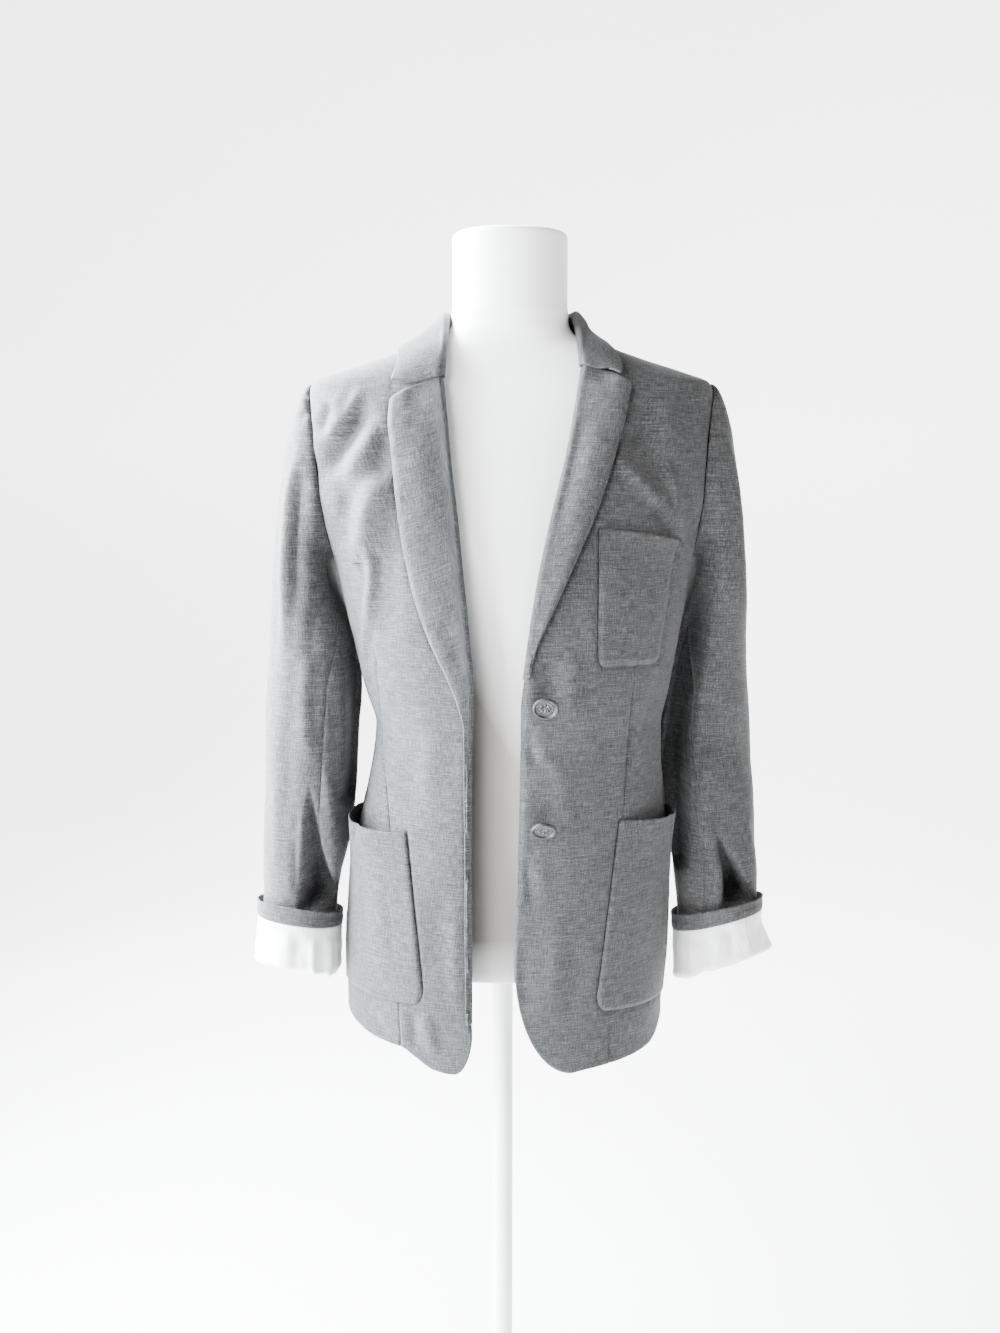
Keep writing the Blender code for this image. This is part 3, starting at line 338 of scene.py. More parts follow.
# Creases pressed into each piece. A row holds half the width and the depth in tenths of a millimetre,
# then X and Z of the points it runs through in millimetres. A negative depth is a ridge.
CREASES = {
    "front_left": (
        (53, -34, -132, 1298, -149, 1267, -165, 1247, -172, 1234),
        (53, 36, -162, 1283, -170, 1266, -174, 1251),
        (115, 90, -125, 1286, -142, 1258, -159, 1232, -169, 1206),
        (105, -30, -117, 1259, -132, 1232, -149, 1208), (115, 30, -106, 1265, -111, 1237, -111, 1209),
        (137, -70, -111, 1218, -126, 1172, -133, 1129), (95, 32, -142, 1204, -149, 1168, -151, 1141),
        (44, -42, -127, 1154, -122, 1123, -125, 1097, -129, 1070),
        (126, 24, -111, 1163, -107, 1108, -111, 1050), (36, -32, -126, 1086, -135, 1046, -133, 991),
        (53, 26, -140, 1076, -152, 1033, -147, 995), (42, 13, -122, 1044, -119, 964, -110, 875),
        (63, -12, -138, 987, -133, 934, -121, 898), (105, -13, -59, 987, -69, 947, -68, 909),
        (105, 13, -84, 965, -89, 915, -87, 877), (95, 13, -60, 831, -65, 781, -61, 732),
        (63, -12, -45, 813, -46, 753, -44, 693), (53, 22, -87, 700, -88, 677, -83, 656),
        (63, -22, -75, 700, -71, 675, -65, 650), (74, 15, -131, 686, -122, 673, -110, 666),
    ),
    "front_right": (
        (58, -44, 99, 1235, 123, 1211, 144, 1191, 160, 1165), (137, 64, 113, 1265, 135, 1235, 158, 1206),
        (42, -36, 151, 1237, 160, 1202, 168, 1157), (53, 46, 137, 1189, 149, 1170, 158, 1153),
        (63, 32, 173, 1236, 179, 1181, 183, 1136), (126, 34, 129, 1288, 132, 1260, 127, 1237),
        (105, -14, 156, 1292, 159, 1265, 155, 1241), (84, -24, 65, 1055, 65, 1017, 60, 985),
        (95, 24, 45, 1051, 41, 1018, 49, 980), (95, -12, 79, 1091, 84, 1054, 82, 1016),
        (63, 20, 23, 982, 25, 961, 33, 943), (63, -12, 30, 968, 42, 951, 59, 943),
        (63, 16, 22, 862, 24, 834, 29, 804), (115, -14, 53, 951, 59, 911, 56, 872),
        (38, 18, 122, 1033, 120, 974, 116, 892), (53, -13, 113, 1032, 111, 965, 106, 901),
        (53, -11, 131, 1030, 129, 982, 124, 924), (63, 16, 143, 1020, 138, 989, 132, 961),
        (32, 12, 104, 689, 105, 640), (105, -13, 54, 813, 51, 753, 43, 693),
        (105, 13, 72, 782, 69, 727, 61, 672), (63, 11, 22, 774, 20, 740, 26, 704),
    ),
    "sleeve_left": (
        (47, -36, -193, 1252, -204, 1210, -208, 1171, -212, 1113, -214, 1034),
        (63, 34, -189, 1227, -196, 1190, -199, 1133, -200, 1074),
        (53, 18, -218, 1171, -226, 1092, -227, 1013), (21, 18, -195, 1288, -189, 1291, -184, 1295),
        (26, -14, -198, 1283, -190, 1287, -183, 1288), (32, 17, -197, 1263, -191, 1273, -184, 1282),
        (53, -14, -181, 1219, -183, 1181, -181, 1142),
        (63, -24, -188, 1054, -195, 1006, -194, 962, -189, 926),
        (47, -40, -175, 935, -174, 894, -171, 840, -169, 787), (42, -26, -198, 896, -198, 845, -198, 784),
        (42, 16, -207, 860, -207, 819, -207, 787), (53, -22, -163, 1032, -159, 973, -158, 899),
        (63, 20, -182, 1093, -187, 1054, -192, 1027), (53, -12, -226, 934, -226, 873, -225, 812),
        (74, 16, -213, 995, -212, 936, -212, 875),
    ),
    "sleeve_right": (
        (36, -28, 215, 1267, 226, 1210, 235, 1132, 243, 1050),
        (63, 26, 207, 1242, 218, 1190, 224, 1123, 231, 1053), (27, -16, 203, 1294, 206, 1272, 203, 1246),
        (95, 20, 203, 1190, 204, 1132, 207, 1073),
        (58, -44, 216, 972, 206, 921, 202, 879, 210, 846, 225, 798),
        (53, -24, 242, 883, 253, 836, 266, 781), (63, 18, 189, 920, 191, 875, 194, 819),
        (42, -14, 185, 847, 188, 807, 191, 778), (84, 24, 200, 1016, 210, 970, 225, 927),
        (74, -18, 203, 1053, 214, 1009, 236, 962), (63, 14, 237, 990, 246, 947, 253, 896),
    ),
    "lapel_left": (
        (27, 8, -104, 1235, -94, 1231, -83, 1229), (27, -7, -103, 1226, -92, 1222, -79, 1221),
        (29, 9, -96, 1193, -88, 1189, -75, 1188), (29, -7, -93, 1184, -83, 1180, -69, 1180),
        (25, 7, -90, 1168, -80, 1165, -69, 1165), (27, 7, -104, 1274, -96, 1272, -87, 1274),
        (74, 9, -67, 1283, -58, 1236, -47, 1182, -40, 1137), (95, -9, -85, 1255, -77, 1209, -65, 1155),
        (53, 7, -58, 1091, -47, 1064, -38, 1027),
    ),
    "lapel_right": (
        (29, 7, 111, 1253, 97, 1255, 86, 1259), (29, 7, 99, 1218, 87, 1220, 78, 1224),
        (84, -9, 94, 1283, 86, 1246, 74, 1200, 57, 1155), (53, 8, 75, 1283, 69, 1246, 58, 1200, 44, 1155),
        (27, 6, 52, 1114, 44, 1117, 39, 1121),
    ),
    "cuff_lining_left": (
        (32, 45, -182, 755, -185, 736, -182, 697), (32, -30, -177, 754, -176, 724, -179, 697),
        (27, 36, -173, 740, -173, 717, -176, 695), (32, -24, -190, 759, -193, 734, -189, 700),
        (53, 20, -202, 761, -208, 736, -205, 709), (63, -14, -214, 767, -219, 746, -217, 718),
        (53, 14, -234, 769, -237, 743, -235, 720),
    ),
    "cuff_lining_right": (
        (42, -20, 188, 751, 192, 732, 191, 700), (47, 26, 200, 759, 204, 739, 201, 707),
        (42, -18, 211, 763, 215, 743, 212, 717), (53, 20, 225, 768, 231, 748, 227, 725),
        (42, -16, 241, 773, 248, 753, 246, 732), (42, 18, 260, 771, 271, 745, 265, 734),
    ),
    "breast_pocket": (
        (95, 6, 127, 1160, 139, 1135, 142, 1098), (95, -7, 110, 1150, 106, 1109, 112, 1062),
    ),
    "pocket_left": (
        (105, -12, -130, 848, -125, 800, -124, 740), (84, 9, -108, 834, -104, 785, -103, 736),
        (63, 10, -156, 802, -151, 757, -155, 708),
    ),
    "pocket_right": (
        (105, -12, 134, 852, 128, 803, 125, 742), (74, 10, 152, 825, 147, 766, 143, 714),
    ),
    "back_left": (
        (100, 26, -150, 1210, -120, 1180, -75, 1165), (90, -20, -160, 1240, -128, 1222, -85, 1216),
        (80, 22, -140, 1120, -120, 1060, -98, 990), (85, 26, -105, 1010, -70, 985, -30, 978),
        (90, -22, -110, 955, -72, 942, -28, 946), (120, 28, -70, 900, -66, 820, -78, 720),
        (120, -24, -100, 880, -104, 800, -112, 700), (110, -20, -30, 860, -34, 780, -40, 690),
    ),
    "back_right": (
        (100, 24, 168, 1216, 132, 1192, 90, 1180), (80, -18, 172, 1172, 140, 1150, 104, 1150),
        (90, 24, 150, 1110, 128, 1050, 112, 985), (80, 24, 120, 1020, 88, 992, 46, 984),
        (90, -20, 126, 968, 90, 950, 44, 954), (120, 26, 82, 905, 88, 815, 80, 715),
        (110, -24, 118, 870, 124, 790, 130, 700), (100, -18, 42, 850, 50, 770, 48, 690),
    ),
    "sleeve_back_left": (
        (90, 30, -215, 1170, -205, 1090, -200, 1010), (75, 44, -190, 1010, -208, 975, -230, 962),
        (75, -34, -180, 972, -204, 940, -232, 926), (70, 40, -178, 930, -200, 900, -230, 892),
        (80, 34, -205, 880, -202, 830, -208, 780), (70, -26, -186, 870, -184, 820, -190, 780),
    ),
    "sleeve_back_right": (
        (90, 28, 230, 1180, 222, 1100, 214, 1020), (80, 42, 196, 1004, 222, 978, 248, 972),
        (70, -34, 192, 962, 218, 938, 248, 932), (75, 38, 192, 924, 216, 902, 246, 898),
        (85, 34, 220, 880, 224, 830, 232, 780), (65, -24, 204, 860, 204, 820, 212, 780),
    ),
    "collar": (
        (50, 8, -62, 1345, -68, 1325, -75, 1312), (60, -7, -78, 1322, -86, 1312, -92, 1304),
        (55, 8, 76, 1346, 82, 1330, 90, 1318), (50, -6, 88, 1330, 96, 1320, 102, 1312),
    ),
}

# Deep folds at the front of each sleeve: how much a fold grows along its way, then a row as above
DEEP_FOLDS = {
    "left": (
        (0.94, 179, 600, -191, 916, -191, 876, -190, 838, -188, 801, -186, 763),
        (0.25, 95, 340, -155, 1098, -152, 1039, -149, 974, -153, 895),
    ),
    "right": (
        (0.25, 126, 420, 197, 1132, 191, 1051, 182, 980, 177, 917, 176, 829),
        (0.94, 189, 550, 213, 866, 218, 844, 227, 824, 234, 800, 240, 766),
    ),
}


# ---- Curves and surfaces ----


def hermite(t, span, start, leave, end, arrive):
    """A cubic from start to end that leaves and arrives with these slopes."""
    return (
        (2 * t**3 - 3 * t**2 + 1) * start
        + (t**3 - 2 * t**2 + t) * span * leave
        + (3 * t**2 - 2 * t**3) * end
        + (t**3 - t**2) * span * arrive
    )


def read(lines, at, column):
    """A column of a table at each place, on a smooth curve that never overshoots its rows."""
    rows = np.array([row[0] for row in lines], float)
    values = np.array([getattr(row, column) for row in lines], float)
    slopes = np.diff(values) / np.diff(rows)
    tangents = np.empty(len(rows))
    tangents[0], tangents[-1] = slopes[0], slopes[-1]
    product = slopes[:-1] * slopes[1:]
    total = np.where(product > 0, slopes[:-1] + slopes[1:], 1.0)
    tangents[1:-1] = np.where(product > 0, 2 * product / total, 0.0)
    at = np.clip(np.asarray(at, float), rows[0], rows[-1])
    here = np.clip(np.searchsorted(rows, at, side="right") - 1, 0, len(rows) - 2)
    span = rows[here + 1] - rows[here]
    t = (at - rows[here]) / span
    return hermite(t, span, values[here], tangents[here], values[here + 1], tangents[here + 1])


def mix(start, end, t):
    return start + (end - start) * t


def ease(value, low, high):
    t = np.clip((np.asarray(value, float) - low) / (high - low), 0.0, 1.0)
    return t * t * (3 - 2 * t)


def bell(away, width):
    return np.exp(-((away / width) ** 2))


def spread(low, high, count, power=1.0):
    return mix(low, high, np.linspace(0.0, 1.0, count) ** power)


def unit(vectors):
    return vectors / np.maximum(np.linalg.norm(vectors, axis=-1, keepdims=True), 1e-12)


def spline(controls, count, weights=None):
    """Points on a smooth curve through the controls, which lie along the axis before the last."""
    steps = np.linalg.norm(np.diff(controls, axis=-2), axis=-1)
    mean = steps.reshape(-1, steps.shape[-1]).mean(0)
    knots = np.concatenate([[0.0], np.cumsum(np.maximum(mean, 1e-6))])
    if weights is None:
        at = np.linspace(0.0, knots[-1], count)
    else:
        at = np.interp(np.linspace(0, 1, count), np.linspace(0, 1, len(weights)), np.cumsum(weights))
        at = (at - at[0]) / (at[-1] - at[0]) * knots[-1]
    spans = np.diff(knots)
    slopes = np.diff(controls, axis=-2) / spans[:, None]
    tangents = np.empty_like(controls)
    tangents[..., 0, :], tangents[..., -1, :] = slopes[..., 0, :], slopes[..., -1, :]
    before, after = spans[:-1, None], spans[1:, None]
    tangents[..., 1:-1, :] = (slopes[..., :-1, :] * after + slopes[..., 1:, :] * before) / (before + after)
    here = np.clip(np.searchsorted(knots, at, side="right") - 1, 0, len(knots) - 2)
    span = spans[here][:, None]
    t = ((at - knots[here]) / spans[here])[:, None]
    ends = (line[..., index, :] for index in (here, here + 1) for line in (controls, tangents))
    return hermite(t, span, *ends)


def body_ring(angle, height, side=0.0, front=0.0, back=0.0):
    angle, height = np.broadcast_arrays(np.asarray(angle, float), np.asarray(height, float))
    turn = np.radians(angle)
    half = read(BODY, height, "half_width") - side
    fore = read(BODY, height, "front") - front
    aft = read(BODY, height, "back") - back
    depth = np.where(np.cos(turn) > 0, fore, aft)
    corner = 1 + SQUARENESS * np.sin(2 * turn) ** 2
    x = read(BODY, height, "sway") + half * np.sin(turn) * corner
    return np.stack([x, -depth * np.cos(turn) * corner, height], -1)


def body_normal(angle, height):
    step = 0.5
    rise = 0.0015
    around = body_ring(angle + step, height) - body_ring(angle - step, height)
    upward = body_ring(angle, height + rise) - body_ring(angle, height - rise)
    return unit(np.cross(around, upward))


def body_point(angle, height, lift=0.0):
    """A place on the shell's inner face, or lifted off it along its normal."""
    lift = np.asarray(lift, float)[..., None]
    return body_ring(angle, height) + body_normal(angle, height) * lift


def angle_at(x, height):
    """The front half's angle whose place has this X at this height."""
    x, height = np.broadcast_arrays(np.asarray(x, float), np.asarray(height, float))
    half = read(BODY, height, "half_width")
    sway = read(BODY, height, "sway")
    low = np.full(x.shape, -90.0)
    high = np.full(x.shape, 90.0)
    for _ in range(26):
        middle = (low + high) / 2
        turn = np.radians(middle)
        reach = sway + half * np.sin(turn) * (1 + SQUARENESS * np.sin(2 * turn) ** 2)
        low = np.where(reach < x, middle, low)
        high = np.where(reach < x, high, middle)
    return (low + high) / 2


def front_place(x, height, lift):
    return body_point(angle_at(x, height), height, lift)


# ---- Relief ----


def facing(normal, gain=1.6):
    """1 where a surface faces ahead, fading to 0 where it turns aside."""
    return np.clip(-normal[..., 1] * gain, 0.0, 1.0)


def crease_depth(rows, points, growths=None):
    """How deep creases press in at each place. Their ends fade out and their sides rise a little.

    A fold that grows keeps its far end, and its walls are steeper.
    """
    x, z = points[..., 0], points[..., 2]
    depth = np.zeros(x.shape)
    for row, growth in zip(rows, growths or [0.0] * len(rows)):
        half_width, full_depth = row[0] / 10000, row[1] / 10000
        path = spline(np.array(row[2:]).reshape(-1, 2) / 1000, CREASE_POINTS)
        reach = 3.4 * half_width
        low, high = path.min(0) - reach, path.max(0) + reach
        near = (x > low[0]) & (x < high[0]) & (z > low[1]) & (z < high[1])
        if not near.any():
            continue
        places = np.stack([x[near], z[near]], -1)
        best = np.full(len(places), 1e9)
        share = np.zeros(len(places))
        for index in range(len(path) - 1):
            along = path[index + 1] - path[index]
            away = places - path[index]
            t = np.clip(away @ along / (along @ along), 0.0, 1.0)
            distance = np.linalg.norm(away - t[:, None] * along, axis=-1)
            closer = distance < best
            best = np.where(closer, distance, best)
            share = np.where(closer, (index + t) / (len(path) - 1), share)
        grow = mix(1 - growth, 1.0, share)
        u = best / (half_width * grow)
        side = 0.16 * bell(u - 2.0, 0.8)
        fade = ease(share, 0.0, 0.28) * (1.0 if growth else ease(1 - share, 0.0, 0.28))
        depth[near] += full_depth * grow * (np.exp(-(u ** (4 if growth else 2))) - side) * fade
    return depth


def ripple(points, size, seed):
    """Gentle unevenness between about -1 and 1, in waves near this size."""
    chance = np.random.default_rng(seed)
    total = np.zeros(points.shape[:-1])
    for _ in range(9):
        direction = unit(chance.normal(size=3))
        length = size * chance.uniform(0.7, 1.5)
        total += np.sin(points @ direction * 2 * math.pi / length + chance.uniform(0, 2 * math.pi))
    return total / 4.0


def normals_of(grid, closed=False):
    if closed:
        across = np.roll(grid, -1, 1) - np.roll(grid, 1, 1)
    else:
        across = np.gradient(grid, axis=1)
    return unit(np.cross(across, np.gradient(grid, axis=0)))


def grain_of(grid):
    """Where each point lies on the cloth, across and along the grain, in metres."""
    steps = np.linalg.norm(np.diff(grid, axis=1), axis=-1)
    u = np.concatenate([np.zeros((len(grid), 1)), np.cumsum(steps, 1)], 1)
    across = unit(np.gradient(grid, axis=1))
    rise = np.diff(grid, axis=0)
    mean = unit(across[1:] + across[:-1])
    rise = rise - (rise * mean).sum(-1, keepdims=True) * mean
    rises = np.linalg.norm(rise, axis=-1)
    v = np.concatenate([np.zeros((1, grid.shape[1])), np.cumsum(rises, 0)], 0)
    return u, v


def body_grain(grid):
    """Where points on the body lie on a cloth whose grain runs level and upright all round it."""
    levels = np.linspace(0.60, 1.36, 180)
    angles = np.linspace(-180.0, 180.0, 241)
    rings = body_ring(angles[None, :], levels[:, None])
    steps = np.linalg.norm(np.diff(rings, axis=1), axis=-1)
    arcs = np.concatenate([np.zeros((len(levels), 1)), np.cumsum(steps, 1)], 1)
    arcs = arcs - arcs[:, 120:121]
    rise = np.linalg.norm(np.diff(body_ring(40.0, levels), axis=0), axis=-1)
    climb = levels[0] + np.concatenate([[0.0], np.cumsum(rise)])
    x, y, z = grid[..., 0], grid[..., 1], np.clip(grid[..., 2], levels[0], levels[-1])
    half = read(BODY, z, "half_width")
    depth = np.where(y < 0, read(BODY, z, "front"), read(BODY, z, "back"))
    angle = np.degrees(np.arctan2((x - read(BODY, z, "sway")) / half, -y / depth))
    row = np.clip((z - levels[0]) / (levels[1] - levels[0]), 0, len(levels) - 1.001)
    column = np.clip((angle + 180) / 1.5, 0, len(angles) - 1.001)
    r, c = row.astype(int), column.astype(int)
    fr, fc = row - r, column - c
    u = (arcs[r, c] * (1 - fc) + arcs[r, c + 1] * fc) * (1 - fr)
    u += (arcs[r + 1, c] * (1 - fc) + arcs[r + 1, c + 1] * fc) * fr
    return u, np.interp(z, levels, climb)


def seam_dips(grid, u, v, dips, widths):
    """Shallow grooves along the edges: dips and widths are for bottom, top, first and last column."""
    upright = np.abs(unit(np.gradient(grid[:, [0, -1]], axis=0))[..., 2])
    gaps = (v - v[:1], v[-1:] - v, u - u[:, :1], u[:, -1:] - u)
    shares = (1.0, 1.0, upright[:, :1], upright[:, 1:])
    return sum(d * s * bell(gap, w) for d, w, gap, s in zip(dips, widths, gaps, shares))


# ---- Meshes ----


def loop_of(rows, columns):
    """The grid's boundary, as row and column numbers, anticlockwise seen from the outside."""
    bottom = [(0, c) for c in range(columns - 1)]
    last = [(r, columns - 1) for r in range(rows - 1)]
    top = [(rows - 1, c) for c in range(columns - 1, 0, -1)]
    first = [(r, 0) for r in range(rows - 1, 0, -1)]
    return np.array(bottom + last + top + first)


def shell_arrays(outer, inner, u, v, closed):
    """Vertices, quads and grain of a wall between two grids, with rounded edges."""
    rows, columns = outer.shape[:2]
    wide = columns + 1 if closed else columns
    r, c = np.meshgrid(np.arange(rows), np.arange(wide), indexing="ij")
    vertex = r * columns + c % columns
    grain = np.stack([u, v], -1)
    if closed:
        round_u = u[:, -1] + np.linalg.norm(outer[:, 0] - outer[:, -1], axis=-1)
        grain = np.concatenate([grain, np.stack([round_u, v[:, 0]], -1)[:, None]], 1)
    count = rows * columns
    corners = [(slice(0, -1), slice(0, -1)), (slice(0, -1), slice(1, None))]
    corners += [(slice(1, None), slice(1, None)), (slice(1, None), slice(0, -1))]
    quads = np.stack([vertex[s] for s in corners], -1).reshape(-1, 4)
    places = np.stack([grain[s] for s in corners], -2).reshape(-1, 4, 2)
    faces = [quads, quads[:, ::-1] + count]
    maps = [places, places[:, ::-1]]
    points = [outer.reshape(-1, 3), inner.reshape(-1, 3)]
    loops = [loop_of(rows, columns)]
    if closed:
        ring = np.arange(columns)
        loops = [np.stack([0 * ring, ring], -1), np.stack([0 * ring + rows - 1, ring[::-1]], -1)]
    start = 2 * count
    for loop in loops:
        index = loop[:, 0] * columns + loop[:, 1]
        edge_out, edge_in = points[0][index], points[1][index]
        middle = (edge_out + edge_in) / 2
        along = unit(np.roll(middle, -1, 0) - np.roll(middle, 1, 0))
        wall = edge_out - edge_in
        away = np.cross(along, wall) * 0.42
        points.append(middle + away)
        after = np.roll(index, -1)
        ids = start + np.arange(len(index))
        ids_after = np.roll(ids, -1)
        faces.append(np.stack([after, index, ids, ids_after], -1))
        faces.append(np.stack([ids_after, ids, index + count, after + count], -1))
        here = grain[loop[:, 0], loop[:, 1]]
        there = np.roll(here, -1, 0)
        if closed:
            there[-1] = here[-1]
        maps += [np.stack([there, here, here, there], 1)] * 2
        start += len(index)
    return np.concatenate(points), np.concatenate(faces), np.concatenate(maps)


def mesh_object(name, points, faces, material, grain=None):
    mesh = bpy.data.meshes.new(name)
    mesh.from_pydata(points, [], faces)
    if grain is not None:
        layer = mesh.uv_layers.new(name="grain")
        layer.uv.foreach_set("vector", np.asarray(grain, np.float32).ravel())
    mesh.shade_smooth()
    mesh.materials.append(material)
    obj = bpy.data.objects.new(name, mesh)
    bpy.context.scene.collection.objects.link(obj)
    return obj


def keep(obj, node):
    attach(obj, "root")
    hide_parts(node)


def measure(grid):
    """Longest row, longest column and area of a surface."""
    across, along = np.diff(grid, axis=1), np.diff(grid, axis=0)
    lengths = [np.linalg.norm(steps, axis=-1).sum(axis).max() for steps, axis in ((across, 1), (along, 0))]
    area = np.linalg.norm(np.cross(across[:-1], along[:, :-1]), axis=-1).sum()
    return float(lengths[0]), float(lengths[1]), float(area)


SHEETS = []


def cloth(node, grid, wall, material, outward=False, flip=False, closed=False, relief=None, push=None,
          dips=(0, 0, 0, 0), widths=(EDGE_WIDTH,) * 4, grain=None):
    """A shell of cloth on a grid of points.

    relief gives the depth pressed in at each point, push a shift back, and grain the place on the cloth.
    """
    u, v = grain_of(grid)
    press = seam_dips(grid, u, v, dips, widths)
    if flip:
        grid, u, v, press = grid[:, ::-1], u[:, ::-1], v[:, ::-1], press[:, ::-1]
    normal = normals_of(grid, closed)
    if relief is not None:
        press = press + relief(grid, normal)
    grid = grid - normal * press[..., None]
    size = measure(grid)
    if grain is not None:
        u, v = grain(grid)
    if push is not None:
        grid[..., 1] += push(grid, normal)
    normal = normals_of(grid, closed)
    outer, inner = (grid + normal * wall, grid) if outward else (grid, grid - normal * wall)
    points, faces, places = shell_arrays(outer, inner, u, v, closed)
    obj = mesh_object(node + "_cloth", points, faces, material, places)
    keep(obj, node)
    SHEETS.append((obj, *size))


# ---- Fronts and backs ----


def edge_x(side, height):
    """X of a front's own edge, which lies a little behind the fold where a lapel rolls round it."""
    fold = read(FRONT_EDGE, height, side)
    rolled = 1 - ease(height, GORGE[side].roll[1] - 0.004, GORGE[side].roll[1] + 0.012)
    rolled = rolled * ease(height, LAPEL_FOOT[side] - 0.03, LAPEL_FOOT[side] + 0.01)
    return fold + SIDES[side] * ROLL_INSET * rolled


def hem_height(side, reach):
    radius = CORNER_RADIUS[side]
    inside = np.clip(1 - reach / radius, 0.0, 1.0)
    return read(HEM, reach, side) + CORNER_RISE[side] * (1 - np.sqrt(1 - inside**2))


def armhole_half_angle(height, widest):
    reach = (height - ARMHOLE_MIDDLE) / ARMHOLE_HALF
    return widest * np.sqrt(np.maximum(0.0, 1 - reach * reach))


def armhole_height(phi, inset=0.0):
    return ARMHOLE_MIDDLE + (ARMHOLE_HALF - inset) * np.cos(np.radians(phi))


def gap_angle(height, gap):
    return np.degrees(gap / read(BODY, height, "half_width"))


def rows_above_skirt():
    torso = spread(SKIRT_TOP, ARMHOLE_BOTTOM, TORSO_ROWS)
    armhole = armhole_height(spread(180.0, 0.0, ARMHOLE_ROWS))
    shoulder = spread(ARMHOLE_TOP, NECK_HEIGHT, SHOULDER_ROWS)
    return np.concatenate([torso[:-1], armhole, shoulder[1:]])


def front_angles(side, share, height):
    """Angles across a front. Columns gather along the dart, so that its seam can be thin."""
    start = angle_at(edge_x(side, height), height)
    half = armhole_half_angle(height, ARMHOLE_FRONT_ANGLE)
    end = SIDES[side] * (90 - half - gap_angle(height, SEAM_GAP / 2))
    centre = (angle_at(read(DARTS[side], height, "x"), height) - start) / (end - start)
    share = share + 0.66 * (centre - share) * bell(share - centre, 0.05)
    return mix(start, end, share)


def dart_groove(side, x, z):
    line = bell(x - read(DARTS[side], z, "x"), DART_WIDTH)
    return DART_DEPTH * line * (1 - ease(z, 1.035, 1.056))


def under_lapel(side, x, z):
    """1 where the lapel or the collar lies over the front, fading to 0 beyond its edge."""
    edge = np.abs(read(LAPEL_EDGE[side], z, "x"))
    beside = 1 - ease(np.abs(x), edge - 0.001, edge + 0.004)
    return beside * ease(z, LAPEL_FOOT[side] - 0.01, LAPEL_FOOT[side] + 0.02)


def side_of(pocket):
    return "left" if POCKETS[pocket].side_angle < 0 else "right"


def under_pocket(name, x, z):
    """1 where a pocket lies over the front, fading to 0 beyond its edge."""
    pocket = POCKETS[name]
    front = mix(pocket.bottom_x, pocket.mouth_x, (z - pocket.bottom_front) / 0.17)
    inside = ease(np.abs(x), np.abs(front) - 0.003, np.abs(front) + 0.001)
    if name == "breast_pocket":
        inside = inside * (1 - ease(x, 0.169, 0.173))
    mouth = mix(pocket.mouth_front, pocket.mouth_side, 0.5)
    below_mouth = 1 - ease(z, mouth, mouth + 0.004)
    return inside * ease(z, pocket.bottom_side - 0.006, pocket.bottom_side) * below_mouth


def body_relief(side, points, normal):
    """Creases and unevenness of the body's cloth."""
    press = facing(normal) * crease_depth(CREASES["front_" + side], points)
    press += facing(-normal) * crease_depth(CREASES["back_" + side], points)
    press += 0.0007 * ripple(points, 0.090, 3) + 0.00022 * ripple(points, 0.024, 5)
    return press


def front_relief(side):
    def relief(points, normal):
        x, z = points[..., 0], points[..., 2]
        press = body_relief(side, points, normal)
        covered = np.maximum(under_lapel(side, x, z), ease(z, 1.315, 1.330))
        groove = dart_groove(side, x, z) * facing(normal)
        for name in POCKETS:
            if side_of(name) == side:
                covered = np.maximum(covered, under_pocket(name, x, z))
                line = bell(outline_distance(name, x, z), 0.0017)
                groove = groove + POCKET_GROOVE * facing(normal) * line
        edge = np.abs(read(LAPEL_EDGE[side], z, "x"))
        beside = bell(np.abs(x) - edge, 0.0030)
        beside = beside * ease(z, 1.03, 1.06) * (1 - ease(z, 1.27, 1.29))
        return mix(press, np.clip(press, 0.0, 0.0006) + 0.0002, covered) + LAPEL_GROOVE * beside + groove

    return relief


def front_grid(side):
    share = spread(0.0, 1.0, FRONT_COLUMNS, 1.25)
    low = np.full(share.shape, HEM_LEVEL)
    reach = np.abs(body_ring(front_angles(side, share, low), low)[:, 0] - edge_x(side, HEM_LEVEL))
    hem = hem_height(side, reach)
    heights = [mix(hem, SKIRT_TOP, step) for step in spread(0.0, 1.0, FRONT_SKIRT_ROWS)[:-1]]
    heights += [np.full(share.shape, level) for level in rows_above_skirt()]
    return np.array([body_point(front_angles(side, share, height), height) for height in heights])


def back_grid(side):
    share = spread(0.0, 1.0, BACK_COLUMNS)
    side_hem = float(hem_height(side, np.array(HEM[-1].reach)))
    hem = mix(side_hem, BACK_HEM, ease(share, 0.0, 0.5))

    def row(height):
        gap = gap_angle(height, SEAM_GAP / 2)
        start = 90 + armhole_half_angle(height, ARMHOLE_BACK_ANGLE) + gap
        return body_point(SIDES[side] * mix(start, 180 - gap, share), height)

    rows = [row(mix(hem, SKIRT_TOP, step)) for step in spread(0.0, 1.0, BACK_SKIRT_ROWS)[:-1]]
    rows += [row(np.full(share.shape, level)) for level in rows_above_skirt()]
    return np.array(rows)


# ---- Sleeves and cuffs ----


def sleeve_ring(side, phi, height, lift=0.0):
    phi, height = np.broadcast_arrays(np.asarray(phi, float), np.asarray(height, float))
    turn = np.radians(phi)
    columns = SLEEVE[side][0]._fields[1:]
    outer, inner, middle_y, depth = (read(SLEEVE[side], height, column) for column in columns)
    corner = 1 + SLEEVE_SQUARENESS * np.sin(2 * turn) ** 2
    x = SIDES[side] * ((outer + inner) / 2 + ((outer - inner) / 2 + lift) * np.cos(turn) * corner)
    y = middle_y - (depth + lift) * np.sin(turn) * corner
    return np.stack([x, y, height], -1)


